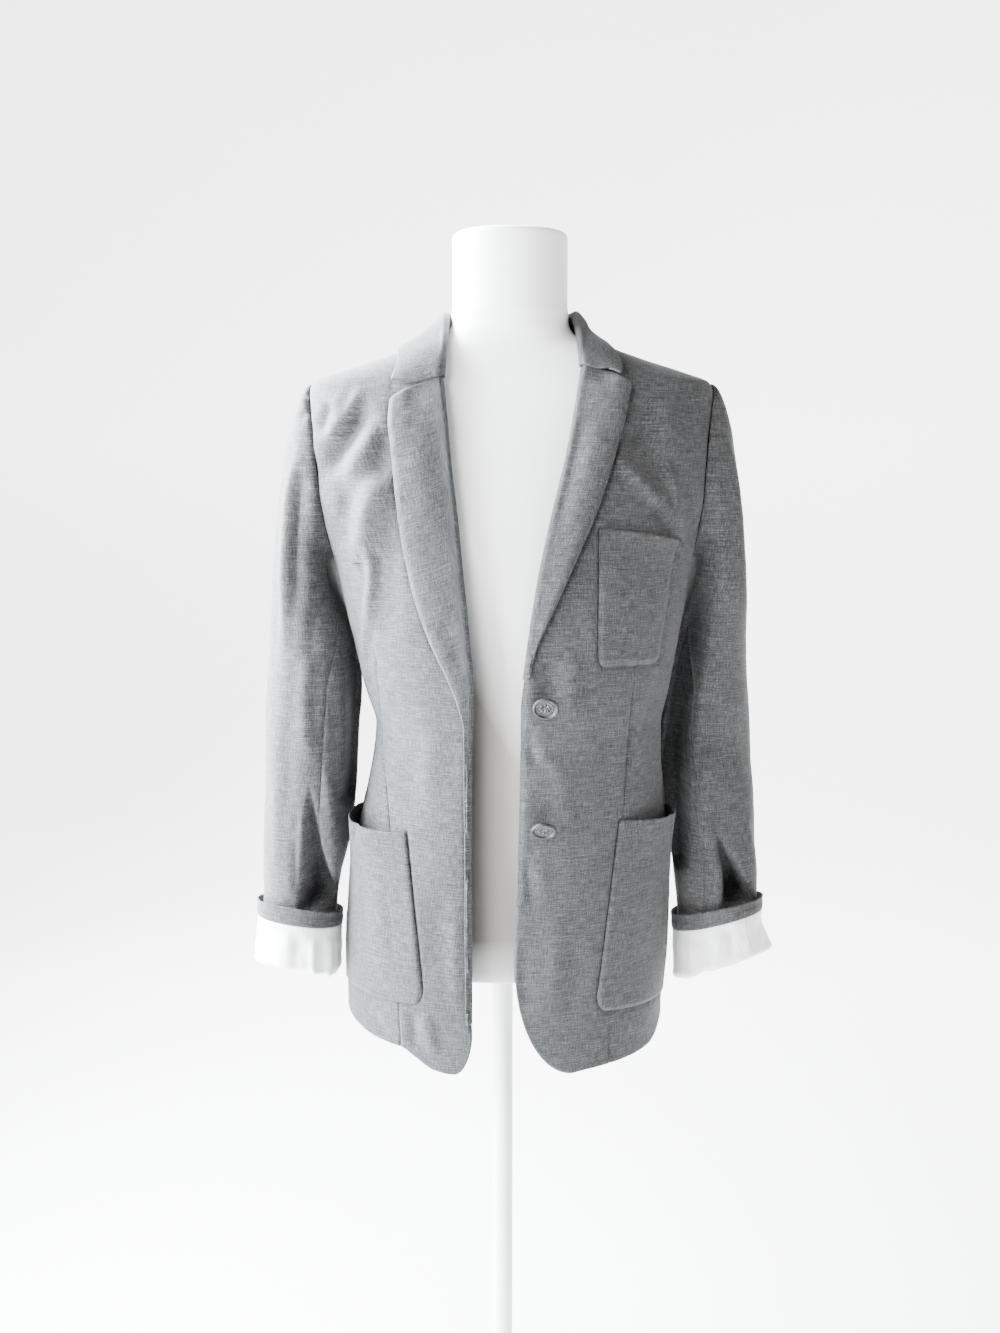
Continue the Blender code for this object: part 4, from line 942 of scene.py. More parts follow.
def armhole_point(side, phi):
    turn = np.radians(phi)
    inset = SHELL_WALL + LAY_GAP
    height = armhole_height(phi, inset)
    widest = np.where(np.sin(turn) > 0, ARMHOLE_FRONT_ANGLE, ARMHOLE_BACK_ANGLE)
    offset = (widest - gap_angle(height, inset)) * np.sin(turn)
    return body_point(SIDES[side] * (90 - offset), height, SHELL_WALL)


def cap_point(side, phi, t):
    """The sleeve head: a curve from the armhole seam out and down to the first level ring."""
    sign = SIDES[side]
    turn = np.radians(phi)
    start = armhole_point(side, phi)
    end = sleeve_ring(side, phi, CAP_FOOT, -SHELL_WALL)
    top = (1 + np.cos(turn)) / 2
    leave = np.stack([sign * mix(0.034, 0.055, top), -0.010 * np.sin(turn), mix(-0.006, -0.004, top)], -1)
    below = sleeve_ring(side, phi, CAP_FOOT - 0.004, -SHELL_WALL)
    arrive = unit(below - end) * mix(0.040, 0.240, top)[..., None]
    return hermite(t, 1.0, start, leave, end, arrive)


def cuff_tilt(side, phi, height):
    turn = np.radians(phi)
    outer = read(CUFF_TILT[side], height, "outer")
    front = read(CUFF_TILT[side], height, "front")
    return outer * np.cos(turn) + front * np.sin(turn)


def sleeve_grid(side, piece):
    """Rows from the cuff up to the armhole, across the top or the under sleeve."""
    share = spread(0.0, 1.0, SLEEVE_COLUMNS[piece])

    def angles(height, radius=0.045):
        gap = math.degrees(SEAM_GAP / 2 / radius)
        front = read(SLEEVE_SEAM, height, "front")
        back = read(SLEEVE_SEAM, height, "back")
        if piece == "top":
            return mix(back - 360 + gap, front - gap, share)
        return mix(front + gap, back - gap, share)

    rows = []
    for height in spread(SLEEVE_FOOT, CAP_FOOT, SLEEVE_ROWS)[:-1]:
        phi = angles(height)
        rows.append(sleeve_ring(side, phi, height + cuff_tilt(side, phi, height), -SHELL_WALL))
    for t in spread(1.0, 0.0, CAP_ROWS, 0.85):
        rows.append(cap_point(side, angles(mix(SLEEVE_SEAM[-1].height, CAP_FOOT, t)), t))
    return np.array(rows)


def sleeve_grain(side, piece):
    """The grain of a sleeve runs level and upright round the sleeve's own middle."""
    def grain(grid):
        z = np.clip(grid[..., 2], SLEEVE_FOOT, CAP_FOOT)
        outer, inner, middle_y = (read(SLEEVE[side], z, column) for column in ("outer", "inner", "middle_y"))
        way = SIDES[side] * (1 if piece == "top" else -1)
        across = way * (grid[..., 0] - SIDES[side] * (outer + inner) / 2)
        return SLEEVE_RADIUS * np.arctan2(grid[..., 1] - middle_y, across) * way, grid[..., 2]

    return grain


def sleeve_relief(side):
    def relief(points, normal):
        fore = facing(normal, 1.5)
        press = fore * crease_depth(CREASES["sleeve_" + side], points)
        press += facing(-normal, 1.5) * crease_depth(CREASES["sleeve_back_" + side], points)
        press += 0.0007 * ripple(points, 0.085, 11) + 0.0002 * ripple(points, 0.022, 13)
        foot = 0.774 + 0.011 * fore
        return mix(np.clip(press, -0.0002, 0.0), press, ease(points[..., 2], foot + 0.002, foot + 0.014))

    return relief


def sleeve_push(side):
    """How far the deep folds at the front of the sleeve go straight back, short of its middle."""
    def push(points, normal):
        y, z = points[..., 1], points[..., 2]
        growths = [fold[0] for fold in DEEP_FOLDS[side]]
        rows = [fold[1:] for fold in DEEP_FOLDS[side]]
        room = np.maximum(read(SLEEVE[side], z, "middle_y") - 0.004 - y, 0.0)
        depth = np.minimum(facing(normal, 3.0) * crease_depth(rows, points, growths), room)
        return np.maximum(depth, 0.0) * ease(z, 0.776, 0.785)

    return push


def cuff_grid(side, section, count):
    """Rows from inside the sleeve, round the turn-up. Its lower end droops where the lining hangs loose."""
    path = spline(np.array([[row.lift, row.height] for row in section]), count)
    phi = np.linspace(0, 360, CUFF_COLUMNS, endpoint=False)
    rows = []
    for lift, level in path:
        ring = sleeve_ring(side, phi, level + cuff_tilt(side, phi, level), lift)
        for x, width, drop in LINING_DROOPS[side]:
            loose = bell(ring[:, 0] - x, width) * ease(-ring[:, 1], 0.0, 0.03)
            ring[:, 2] -= drop * loose * (1 - ease(level, 0.712, 0.748))
        rows.append(ring)
    return np.array(rows)


def lining_relief(side):
    """Crumples on the turned-up lining, which lies over the sleeve's front."""
    def relief(points, normal):
        fore = facing(normal, 1.5) * ease(-points[..., 1], 0.005, 0.025)
        press = fore * crease_depth(CREASES["cuff_lining_" + side], points)
        press += 0.0005 * ripple(points, 0.020, 29)
        return np.clip(press, -0.0040, 0.0022)

    return relief


# ---- Lapels and collar ----


def gorge_height(roll, notch, tip, x):
    """Height of the line from the roll through the notch to a tip, at an X."""
    near = mix(roll[1], notch[1], (x - roll[0]) / (notch[0] - roll[0]))
    far = mix(notch[1], tip[1], (x - notch[0]) / (tip[0] - notch[0]))
    return np.where(np.abs(x) < abs(notch[0]), near, far)


def lapel_grid(side):
    """Rows from the lower end to the gorge; across, from inside the front round the roll to the edge."""
    sign = SIDES[side]
    gorge = GORGE[side]
    rise = gorge.lapel_tip[1] - gorge.roll[1]
    count = LAPEL_ROWS[side]
    t = np.linspace(0.0, 1.0, count)
    roll_height = mix(LAPEL_FOOT[side], gorge.roll[1] - SEAM_GAP, t)
    drop = ease(t, 0.30, 1.0)
    fold_x = read(FRONT_EDGE, roll_height, side)
    edge = read(LAPEL_EDGE[side], roll_height + rise * drop, "x")
    controls = [np.stack([fold_x + sign * i, roll_height, np.full(count, l)], -1) for i, l in ROLL_WRAP]
    for share in (0.0, 0.12, 0.25, 0.4, 0.55, 0.7, 0.82, 0.93, 1.0):
        x = mix(fold_x + sign * LAPEL_ROLL, edge, share)
        line = gorge_height(gorge.roll, gorge.notch, gorge.lapel_tip, x) - gorge.roll[1]
        height = roll_height + mix(rise * share, line, ease(t, 0.8, 1.0)) * drop
        width = np.minimum(1.0, np.abs(edge - fold_x) / 0.03)
        high = float(np.interp(share, (0.0, 0.25, 0.5, 0.78, 0.93, 1.0), (0.0, 0.30, 0.66, 1.0, 0.86, 0.42)))
        flat = ease(t, 0.92, 1.0) * (1 - float(ease(share, 0.40, 0.70)))
        lift = LAPEL_LIFT + (0.0016 * (1 - share) * flat + LAPEL_SWELL[side] * high * (1 - flat)) * width
        controls.append(np.stack([x, height, lift], -1))
    dense = spline(np.stack(controls, 1), LAPEL_COLUMNS, [1.0] * 18 + [1.1] * (LAPEL_COLUMNS - 18))
    return front_place(dense[..., 0], dense[..., 1], dense[..., 2])


def lapel_relief(side):
    def relief(points, normal):
        press = crease_depth(CREASES["lapel_" + side], points)
        press += 0.00045 * ripple(points, 0.070, 17) + 0.00015 * ripple(points, 0.020, 19)
        return press * facing(normal, 1.5)

    return relief


def collar_end(side):
    """The collar's section at the gorge, which carries on the lapel's section across the seam."""
    sign = SIDES[side]
    gorge = GORGE[side]
    points = []
    for inset, lift in ROLL_WRAP:
        points.append(front_place(gorge.roll[0] + sign * inset, gorge.roll[1] + SEAM_GAP, lift))
    for share in (0.0, *LEAF_SHARES):
        x = mix(gorge.roll[0] + sign * LAPEL_ROLL, gorge.collar_tip[0], share)
        height = gorge_height(gorge.roll, gorge.notch, gorge.collar_tip, x) + SEAM_GAP
        lift = LAPEL_LIFT + 0.0016 * (1 - share) + 0.0042 * float(ease(share, 0.25, 1.0))
        points.append(front_place(x, height, lift))
    return np.array(points)


def collar_section(side, way):
    """Points from the stand's base, over the fold and down the leaf to its edge."""
    sign = SIDES[side]
    columns = COLLAR[side][0]._fields[1:]
    values = [float(read(COLLAR[side], way, column)) for column in columns]
    base_height, fold_x, fold_y, fold_z, leaf_angle, leaf_height, bulge = values
    base_angle = sign * mix(180, SHOULDER_ANGLE, min(way / SHOULDER_WAY, 1.0))
    if way > SHOULDER_WAY:
        base_angle = angle_at(edge_x(side, base_height) - sign * NECK_SEAM_GAP, base_height)
    base = body_point(base_angle, base_height)
    fold = np.array([NECK_AXIS_X + sign * fold_x, fold_y, fold_z])
    out = unit(np.array([fold[0] - NECK_AXIS_X, fold[1] - NECK_AXIS_Y, 0.0]))
    up = np.array([0.0, 0.0, 1.0])
    roll = mix(COLLAR_ROLL, COLLAR_ROLL_AT_GORGE, float(ease(way, 0.65, 1.0)))
    inner = fold - up * 0.0030
    top = fold + out * roll * 0.30 + up * 0.0015
    outer = fold + out * roll - up * roll * 0.45
    edge = body_point(sign * leaf_angle, leaf_height, LAPEL_LIFT)
    swell = body_point(sign * leaf_angle, leaf_height, LAPEL_LIFT + bulge)
    bend = mix(outer, swell, 0.55)
    points = [base, mix(base, inner, 0.55), inner, top, outer]
    for share in LEAF_SHARES:
        points.append(outer * (1 - share) ** 2 + bend * 2 * share * (1 - share) + edge * share**2)
    return mix(np.array(points), collar_end(side), float(ease(way, 0.84, 1.0)))


def collar_grid():
    ways = spread(0.0, 1.0, COLLAR_WAYS)
    left = [collar_section("left", way) for way in ways[::-1]]
    right = [collar_section("right", way) for way in ways[1:]]
    return spline(np.array(left + right), COLLAR_COLUMNS)


def collar_relief(points, normal):
    press = facing(normal) * crease_depth(CREASES["collar"], points)
    return press + 0.0003 * ripple(points, 0.060, 23)


# ---- Pockets ----


def pocket_edge(name, share):
    """Heights along the bottom, with rounded corners, and along the mouth."""
    pocket = POCKETS[name]
    width = abs(pocket.side_angle) * 0.0025
    bottom = mix(pocket.bottom_front, pocket.bottom_side, share)
    for reach in (share * width, (1 - share) * width):
        inside = np.clip(1 - reach / pocket.corner, 0.0, 1.0)
        bottom = bottom + pocket.corner * (1 - np.sqrt(1 - inside**2))
    return bottom, mix(pocket.mouth_front, pocket.mouth_side, share)


def pocket_angle(name, share, up, height):
    pocket = POCKETS[name]
    front_x = mix(pocket.bottom_x, pocket.mouth_x, up)
    return mix(angle_at(front_x, height), pocket.side_angle, share)


def outline_distance(name, x, z):
    """How far each place on a front is from the pocket's sewn edges, seen from ahead."""
    ups = np.linspace(1.0, 0.0, 40)
    across = np.linspace(0.0, 1.0, 60)
    share = np.concatenate([0 * ups, across, 0 * ups + 1])
    up = np.concatenate([ups, 0 * across, ups[::-1]])
    bottom, mouth = pocket_edge(name, share)
    height = mix(bottom, mouth, up)
    line = body_ring(pocket_angle(name, share, up, height), height)[:, [0, 2]]
    best = np.full(x.shape, 1.0)
    for start, end in zip(line[:-1], line[1:]):
        along = end - start
        t = np.clip(((x - start[0]) * along[0] + (z - start[1]) * along[1]) / max(along @ along, 1e-12), 0, 1)
        best = np.minimum(best, np.hypot(x - start[0] - t * along[0], z - start[1] - t * along[1]))
    return best


def pocket_grid(name, columns, rows):
    share = spread(0.0, 1.0, columns, 1.05)
    bottom, mouth = pocket_edge(name, share)
    pocket = POCKETS[name]
    grid = []
    for up in spread(0.0, 1.0, rows, 1.1):
        height = mix(bottom, mouth, up) - pocket.sag * up**4 * np.sin(math.pi * share)
        gape = pocket.gape * up**3 * np.sin(math.pi * share**1.2) ** 1.2
        tuck = SIDE_TUCK * ease(share, 0.93, 1.0) if name != "breast_pocket" else 0.0
        grid.append(body_point(pocket_angle(name, share, up, height), height, POCKET_LIFT + gape - tuck))
    return np.array(grid) if side_of(name) == "right" else np.array(grid)[:, ::-1]


def pocket_relief(name):
    """Pressed edges, and a line of topstitching inside the breast pocket's edge."""
    def relief(points, normal):
        x, z = points[..., 0], points[..., 2]
        press = 0.7 * body_relief(side_of(name), points, normal)
        press += crease_depth(CREASES[name], points)
        away = outline_distance(name, x, z)
        seam = 0.0021 * facing(normal) * bell(away, 0.0026)
        if name == "breast_pocket":
            seam = seam + 0.00045 * bell(away - 0.0034, 0.0008)
        return np.clip(press, -0.0030, 0.0004) + seam

    return relief


# ---- Buttons ----


def closed_rings(rings, first, last, reverse=False):
    """Points and faces of rings joined one to the next, with both ends closed to a point."""
    count, columns = rings.shape[:2]
    faces = []
    for low in range(0, (count - 1) * columns, columns):
        for step in range(columns):
            after, high = (step + 1) % columns, low + columns
            faces.append((low + step, high + step, high + after, low + after))
    for step in range(columns):
        after, end = (step + 1) % columns, (count - 1) * columns
        faces.append((count * columns, step, after))
        faces.append((count * columns + 1, end + after, end + step))
    if reverse:
        faces = [face[:1] + face[:0:-1] for face in faces]
    return np.concatenate([rings.reshape(-1, 3), [first, last]]), faces


def turned(profile, petals):
    """A turned surface from radius and height pairs. petals raises a pattern on its face."""
    profile = np.array(profile)
    angle = np.linspace(0, 2 * math.pi, BUTTON_STEPS, endpoint=False)
    radius = np.broadcast_to(profile[1:-1, :1], (len(profile) - 2, BUTTON_STEPS))
    height = np.broadcast_to(profile[1:-1, 1:], radius.shape)
    height = height + petals(radius, angle[None, :], height)
    rings = np.stack([radius * np.cos(angle), radius * np.sin(angle), height], -1)
    centre = profile[0, 1] + petals(np.zeros(1), np.zeros(1), profile[0, 1])[0]
    return closed_rings(rings, [0, 0, centre], [0, 0, profile[-1, 1]])


def rosette(radius, angle, height):
    """A raised eight-petalled flower inside a beaded ring, on the button's sunk face."""
    share = radius / BUTTON_RADIUS
    face = (height > 0.0011) & (share < 0.70)
    petal = 0.5 + 0.5 * np.cos(8 * angle)
    flower = 0.00095 * petal * bell(share - 0.30, 0.12)
    heart = 0.00095 * bell(share, 0.10)
    beads = 0.00070 * (0.5 + 0.5 * np.cos(22 * angle)) * bell(share - 0.58, 0.05)
    return np.where(face, flower + heart + beads, 0.0)


def button_profile():
    r = BUTTON_RADIUS
    face = [(share * r, 0.0013) for share in np.linspace(0.0, 0.70, 26)]
    rim = [(0.735 * r, 0.0015), (0.77 * r, 0.0024), (0.80 * r, 0.00295), (0.84 * r, 0.0032)]
    rim += [(0.91 * r, 0.0031), (0.96 * r, 0.0026), (0.99 * r, 0.0020), (r, 0.0014)]
    back = [(0.99 * r, 0.0008), (0.95 * r, 0.0003), (0.88 * r, 0.0), (0.5 * r, -0.0004)]
    stem = [(1.7 * BUTTON_STEM_RADIUS, -0.0006), (1.1 * BUTTON_STEM_RADIUS, -0.0014)]
    stem += [(BUTTON_STEM_RADIUS, -0.0026), (0.9 * BUTTON_STEM_RADIUS, -0.0040)]
    stem += [(0.6 * BUTTON_STEM_RADIUS, -BUTTON_STEM), (0.0, -BUTTON_STEM)]
    return face + rim + back + stem


def make_button(name, material):
    button = BUTTONS[name]
    points, faces = turned(button_profile(), rosette)
    angle = float(angle_at(button.x, button.height))
    normal = Vector(body_normal(angle, button.height))
    droop = math.radians(button.droop)
    ahead = (normal * math.cos(droop) + Vector((0, 0, -1)) * math.sin(droop)).normalized()
    ahead = (ahead + Vector((math.radians(-button.swing) * 0.5, 0, 0))).normalized()
    cloth_place = Vector(body_point(angle, button.height, SHELL_WALL))
    rim_reach = BUTTON_RADIUS * math.sin(ahead.angle(normal))
    place = cloth_place + normal * (rim_reach + LAY_GAP)
    turn = ahead.to_track_quat("Z", "Y").to_matrix()
    points = BUTTON_SCALE * points @ np.array(turn).T + np.array(place)
    keep(mesh_object(name + "_metal", points, faces, material), name)


# ---- Dress form and stand ----


def form_grid():
    """Level rings from the bottom to the neck's top, drawn in where both edges are rounded."""
    edge = ((0.0, 0.0040), (0.0006, 0.0026), (0.0016, 0.0012), (FORM_EDGE, 0.0))
    levels = [(FORM_BOTTOM + rise, inset) for rise, inset in edge]
    bounds = (FORM_BOTTOM + FORM_EDGE, FORM_SHOULDER, FORM_NECK, FORM_TOP - FORM_EDGE)
    for low, high, count in zip(bounds[:-1], bounds[1:], FORM_ROWS):
        levels += [(height, 0.0) for height in spread(low, high, count)[1:]]
    levels += [(FORM_TOP - rise, inset) for rise, inset in edge[2::-1]]
    angle = np.linspace(0, 360, FORM_COLUMNS, endpoint=False)
    rows = []
    for height, give in levels:
        slack = [float(read(FORM_SLACK, height, column)) + give for column in ("side", "front", "back")]
        ring = body_ring(angle, height, *slack) - body_normal(angle, height) * FORM_SEAT
        ring[:, 2] = height
        rows.append(ring)
    return np.array(rows)


def make_form(material):
    """Torso and neck as one closed solid of level rings, with rings closing to a point at both ends."""
    grid = form_grid()
    caps = []
    for ring in (grid[0], grid[-1]):
        centre = ring.mean(0)
        caps.append([mix(centre, ring, share) for share in (0.02, 0.3, 0.6, 0.85)])
    grid = np.concatenate([caps[0], grid, caps[1][::-1]])
    points, faces = closed_rings(grid, grid[0].mean(0), grid[-1].mean(0), reverse=True)
    keep(mesh_object("dress_form_cover", points, faces, material), "dress_form")


def make_stand(name, node, radius, bottom, top, bevel, material):
    bpy.ops.object.select_all(action="DESELECT")
    bpy.ops.mesh.primitive_cylinder_add(
        vertices=96, radius=radius, depth=top - bottom, location=(0, 0, (bottom + top) / 2)
    )
    obj = bpy.context.active_object
    bpy.ops.object.transform_apply(location=True, rotation=True, scale=True)
    obj.name = name
    obj.data.name = name
    rounding = obj.modifiers.new("edge", "BEVEL")
    rounding.width = bevel
    rounding.segments = 4
    rounding.limit_method = "ANGLE"
    bpy.ops.object.modifier_apply(modifier="edge")
    bpy.ops.object.shade_smooth_by_angle(angle=math.radians(35))
    obj.data.materials.clear()
    obj.data.materials.append(material)
    keep(obj, node)


# ---- Finishes ----


class Nodes:
    """Adds shader nodes to one material and links them."""

    def __init__(self, name):
        self.material = bpy.data.materials.new(name)
        self.material.use_nodes = True
        self.tree = self.material.node_tree
        self.shader = self.tree.nodes["Principled BSDF"]

    def feed(self, socket, value):
        if isinstance(value, bpy.types.NodeSocket):
            self.tree.links.new(value, socket)
        else:
            socket.default_value = value

    def add(self, kind, inputs=(), **settings):
        node = self.tree.nodes.new(kind)
        for key, value in settings.items():
            setattr(node, key, value)
        for key, value in dict(inputs).items():
            self.feed(node.inputs[key], value)
        return node

    def spot(self):
        """X, Y and Z of a place on the object itself."""
        whole = self.add("ShaderNodeTexCoord").outputs["Object"]
        return self.add("ShaderNodeSeparateXYZ", {"Vector": whole}).outputs

    def span(self, value, low, high, first, last):
        inputs = {0: value, 1: low, 2: high, 3: first, 4: last}
        return self.add("ShaderNodeMapRange", inputs).outputs[0]

    def place(self, scale, source="grain"):
        if source == "grain":
            start = self.add("ShaderNodeUVMap", uv_map="grain").outputs["UV"]
        else:
            start = self.add("ShaderNodeTexCoord").outputs["Object"]
        mapping = self.add("ShaderNodeMapping", {"Vector": start, "Scale": scale})
        return mapping.outputs["Vector"]

    def noise(self, scale, detail=2.0, roughness=0.5, source="grain"):
        inputs = {"Vector": self.place(scale, source), "Scale": 1.0, "Detail": detail, "Roughness": roughness}
        return self.add("ShaderNodeTexNoise", inputs).outputs["Fac"]

    def ramp(self, value, *stops):
        node = self.add("ShaderNodeValToRGB", {"Fac": value})
        while len(node.color_ramp.elements) < len(stops):
            node.color_ramp.elements.new(0.5)
        for element, (position, shade) in zip(node.color_ramp.elements, stops):
            element.position = position
            element.color = (*shade, 1.0) if isinstance(shade, tuple) else (shade, shade, shade, 1.0)
        return node.outputs["Color"]

    def blend(self, first, second, factor, kind="MIX"):
        inputs = {0: factor, 6: first, 7: second}
        return self.add("ShaderNodeMix", inputs, data_type="RGBA", blend_type=kind).outputs[2]

    def math(self, kind, first, second):
        return self.add("ShaderNodeMath", {0: first, 1: second}, operation=kind).outputs[0]

    def bump(self, height, strength, distance):
        inputs = {"Height": height, "Strength": strength, "Distance": distance}
        return self.add("ShaderNodeBump", inputs).outputs["Normal"]

    def finish(self, **values):
        for key, value in values.items():
            self.feed(self.shader.inputs[key.replace("_", " ")], value)
        return self.material


def wool_finish():
    """Melange plain weave: fine level slubs, fainter upright ones, grain and soft mottling."""
    n = Nodes("blazer_wool")
    level = n.noise((95.0, 1050.0, 1.0), 1.0, 0.5)
    level_long = n.noise((26.0, 900.0, 1.0), 1.0, 0.5)
    upright = n.noise((950.0, 90.0, 1.0), 1.0, 0.5)
    grain = n.noise((980.0, 980.0, 1.0), 2.0, 0.65)
    mottle = n.noise((150.0, 210.0, 1.0), 3.0, 0.6)
    cloud = n.noise((16.0, 22.0, 1.0), 3.0, 0.55)
    dark, mid, pale = (0.0205, 0.0210, 0.0222), (0.0480, 0.0490, 0.0512), (0.104, 0.106, 0.110)
    base = n.ramp(grain, (0.28, dark), (0.50, mid), (0.74, pale))
    for pattern, factor, stops in (
        (level, 0.60, ((0.30, 0.20), (0.50, 0.5), (0.70, 0.82))),
        (level_long, 0.46, ((0.30, 0.24), (0.52, 0.5), (0.70, 0.80))),
        (upright, 0.56, ((0.30, 0.20), (0.50, 0.5), (0.70, 0.82))),
        (mottle, 0.25, ((0.30, 0.42), (0.70, 0.58))),
        (cloud, 0.30, ((0.30, 0.45), (0.70, 0.55))),
    ):
        base = n.blend(base, n.ramp(pattern, *stops), factor, "OVERLAY")
    threads = n.math("ADD", n.math("ADD", level, upright), grain)
    return n.finish(
        Base_Color=base,
        Roughness=0.82,
        Sheen_Weight=0.10,
        Sheen_Roughness=0.45,
        Specular_IOR_Level=0.22,
        Normal=n.bump(threads, 0.30, 0.0006),
    )


def lining_finish():
    """White satin with faint pinkish-grey upright stripes."""
    n = Nodes("lining_satin")
    stripes = n.noise((330.0, 1.5, 1.0), 1.0, 0.4)
    fine = n.noise((1100.0, 8.0, 1.0), 1.0, 0.5)
    crush = n.noise((90.0, 60.0, 1.0), 3.0, 0.6)
    ivory, white, pink = (0.90, 0.895, 0.895), (0.92, 0.915, 0.91), (0.74, 0.705, 0.715)
    base = n.ramp(stripes, (0.40, ivory), (0.58, white), (0.68, pink))
    base = n.blend(base, n.ramp(fine, (0.35, 0.45), (0.65, 0.55)), 0.30, "OVERLAY")
    return n.finish(
        Base_Color=base,
        Roughness=0.48,
        Sheen_Weight=0.10,
        Specular_IOR_Level=0.40,
        Normal=n.bump(crush, 0.35, 0.0012),
    )


def metal_finish():
    """Dark pewter, darker and duller in small random patches."""
    n = Nodes("button_pewter")
    patina = n.noise((420.0, 420.0, 420.0), 4.0, 0.6, "object")
    base = n.ramp(patina, (0.30, (0.009, 0.009, 0.0095)), (0.70, (0.045, 0.045, 0.047)))
    rough = n.ramp(patina, (0.30, 0.50), (0.70, 0.30))
    return n.finish(
        Base_Color=base, Metallic=0.30, Roughness=rough, Normal=n.bump(patina, 0.12, 0.0003)
    )


def cover_with_painted_shade():
    """Smooth white jersey of the dress form, with painted shade that greys and warms it low down between the
    fronts.
    """
    n = Nodes("form_jersey_painted_shade")
    knit = n.noise((2200.0, 1300.0, 1300.0), 1.0, 0.5, "object")
    cloud = n.noise((9.0, 9.0, 9.0), 2.0, 0.5, "object")
    base = n.ramp(cloud, (0.30, (0.92, 0.915, 0.905)), (0.70, (0.95, 0.945, 0.94)))
    # Painted shade: the fronts' shadow on the form's lower part. Its top edge slants down towards +X, it is
    # darkest towards the left, and it fades off near the bottom.
    place = n.spot()
    shadow_slant = n.math("ADD", place["Z"], n.math("MULTIPLY", place["X"], 1.85))
    low = n.span(shadow_slant, 0.96, 1.09, 1.0, 0.0)
    foot = n.span(place["Z"], 0.722, 0.765, 0.35, 1.0)
    across = n.span(place["X"], -0.030, 0.012, 0.0, 1.0)
    shade = n.ramp(across, (0.0, (0.075, 0.066, 0.058)), (1.0, (0.34, 0.318, 0.300)))
    base = n.blend(base, shade, n.math("MULTIPLY", low, foot))
    return n.finish(
        Base_Color=base, Roughness=0.80, Sheen_Weight=0.12, Normal=n.bump(knit, 0.06, 0.0003)
    )


def paint_finish():
    n = Nodes("stand_lacquer")
    cloud = n.noise((30.0, 30.0, 30.0), 3.0, 0.5, "object")
    base = n.ramp(cloud, (0.30, (0.79, 0.79, 0.785)), (0.70, (0.83, 0.83, 0.825)))
    rough = n.ramp(cloud, (0.30, 0.36), (0.70, 0.44))
    return n.finish(Base_Color=base, Roughness=rough, Normal=n.bump(cloud, 0.04, 0.0005))


# ---- Assembly ----


def make_blazer(wool, lining, metal):
    for side, sign in SIDES.items():
        mirrored = sign < 0
        cloth(
            "front_" + side, front_grid(side), SHELL_WALL, wool, outward=True, flip=mirrored,
            relief=front_relief(side), dips=(-0.0003, 0, 0.0020, 0.0011),
            widths=(EDGE_WIDTH, EDGE_WIDTH, 0.0034, EDGE_WIDTH), grain=body_grain,
        )
        cloth(
            "back_" + side, back_grid(side), SHELL_WALL, wool, outward=True, flip=mirrored,
            relief=lambda points, normal: body_relief(side, points, normal),
            dips=(0, 0, 0.0010, 0.0010), grain=body_grain,
        )
        for piece in ("top", "under"):
            cloth(
                f"{piece}_sleeve_{side}", sleeve_grid(side, piece), SHELL_WALL, wool, outward=True,
                flip=not mirrored, relief=sleeve_relief(side), push=sleeve_push(side),
                dips=(0, 0.0012, 0.0009, 0.0009), grain=sleeve_grain(side, piece),
            )
        cloth(
            "cuff_lining_" + side, cuff_grid(side, LINING_ROWS, LINING_SECTION), LINING_WALL, lining,
            flip=not mirrored, closed=True, relief=lining_relief(side),
        )
        cloth(
            "cuff_band_" + side, cuff_grid(side, BAND_ROWS, BAND_SECTION), POCKET_WALL, wool,
            flip=not mirrored, closed=True,
        )
        cloth(
            "lapel_" + side, lapel_grid(side), DOUBLE_WALL, wool, flip=mirrored,
            relief=lapel_relief(side), dips=(0, 0.0006, 0, -0.0004),
        )
    cloth("collar", collar_grid(), DOUBLE_WALL, wool, relief=collar_relief)
    for name in POCKETS:
        cloth(
            name, pocket_grid(name, *POCKET_SIZE.get(name, LOW_POCKET_SIZE)), POCKET_WALL, wool,
            relief=pocket_relief(name), dips=(0, -0.0003, 0, 0), grain=body_grain,
        )
    for name in BUTTONS:
        make_button(name, metal)


def declare_sheets():
    """Works out each piece's flat area, kept within 0.31 to 1 of its width by length, and uses it for
    nothing. The breast pocket lies on the right front, the rest on the dress form.
    """
    for obj, width, length, area in SHEETS:
        area = min(max(area, 0.31 * width * length), width * length)


# ---- Stage ----


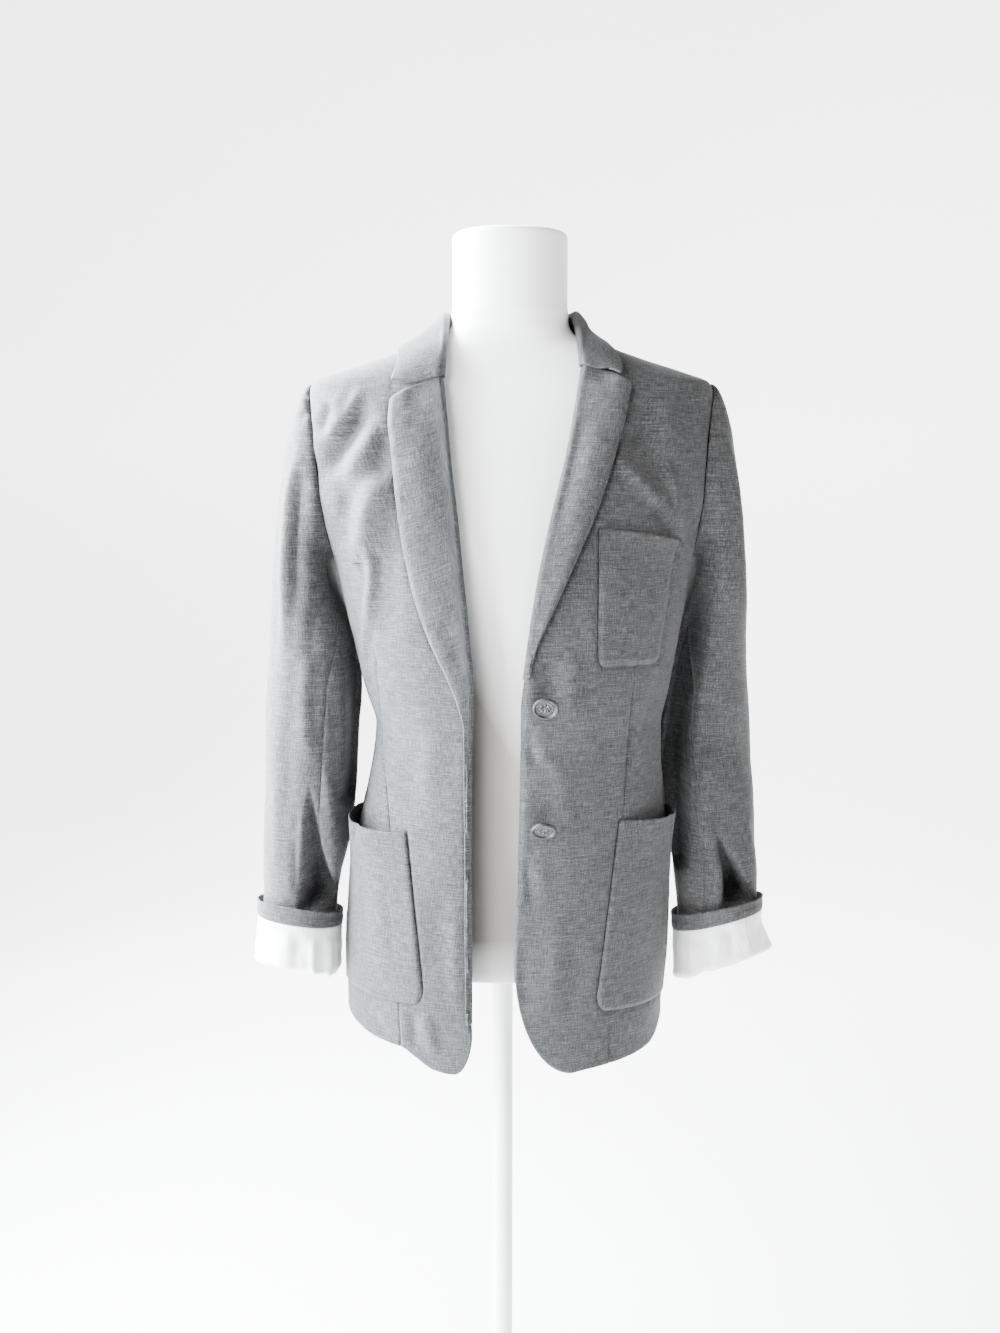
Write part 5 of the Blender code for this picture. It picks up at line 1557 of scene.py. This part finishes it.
def make_floor():
    """A pale floor that rises in a curve to a bright pale wall behind."""
    profile = [(-4.0, 0.0), (0.0, 0.0), (1.0, 0.0), (2.6, 0.0)]
    for step in range(1, 13):
        turn = math.pi / 2 * step / 12
        profile.append((2.6 + 1.4 * math.sin(turn), 1.4 * (1 - math.cos(turn))))
    profile.append((4.0, 5.0))
    points, faces = [], []
    for y, z in profile:
        points += [(-6.0, y, z), (6.0, y, z)]
    for row in range(len(profile) - 1):
        faces.append((2 * row, 2 * row + 1, 2 * row + 3, 2 * row + 2))
    n = Nodes("pale_floor")
    material = n.finish(
        Base_Color=(0.90, 0.90, 0.895, 1.0),
        Roughness=0.9,
        Emission_Color=(1.0, 0.998, 0.985, 1.0),
        Emission_Strength=n.span(n.spot()["Y"], 0.3, 1.6, 0.0, WALL_GLOW),
    )
    mesh_object("pale_floor", points, faces, material)


def area_light(name, place, target, size, power, colour):
    light = bpy.data.lights.new(name, "AREA")
    light.shape = "RECTANGLE"
    light.size, light.size_y = size
    light.energy = power
    light.color = colour
    obj = bpy.data.objects.new(name, light)
    obj.location = place
    obj.rotation_euler = (Vector(target) - Vector(place)).to_track_quat("-Z", "Y").to_euler()
    bpy.context.scene.collection.objects.link(obj)


def make_light():
    world = bpy.data.worlds.new("soft_room")
    world.use_nodes = True
    background = world.node_tree.nodes["Background"]
    background.inputs["Color"].default_value = (1.0, 0.99, 0.97, 1.0)
    background.inputs["Strength"].default_value = ROOM_GLOW
    bpy.context.scene.world = world
    for name, light in LIGHTS.items():
        area_light(name, *light)


def make_camera():
    data = bpy.data.cameras.new("camera")
    data.lens = CAMERA_LENS
    data.sensor_width = 36.0
    camera = bpy.data.objects.new("camera", data)
    camera.location = CAMERA_PLACE
    camera.rotation_euler = (math.radians(90 - CAMERA_TIP), 0.0, 0.0)
    bpy.context.scene.collection.objects.link(camera)
    bpy.context.scene.camera = camera


def main():
    bpy.ops.object.select_all(action="DESELECT")
    make_blazer(wool_finish(), lining_finish(), metal_finish())
    make_form(cover_with_painted_shade())
    paint = paint_finish()
    pole = (BASE_THICKNESS + SEAM_GAP, FORM_BOTTOM - SEAM_GAP)
    make_stand("pole_painted", "stand_pole", POLE_RADIUS, *pole, POLE_BEVEL, paint)
    make_stand("base_painted", "stand_base", BASE_RADIUS, 0.0, BASE_THICKNESS, BASE_BEVEL, paint)
    declare_sheets()
    make_floor()
    make_light()
    make_camera()


main()
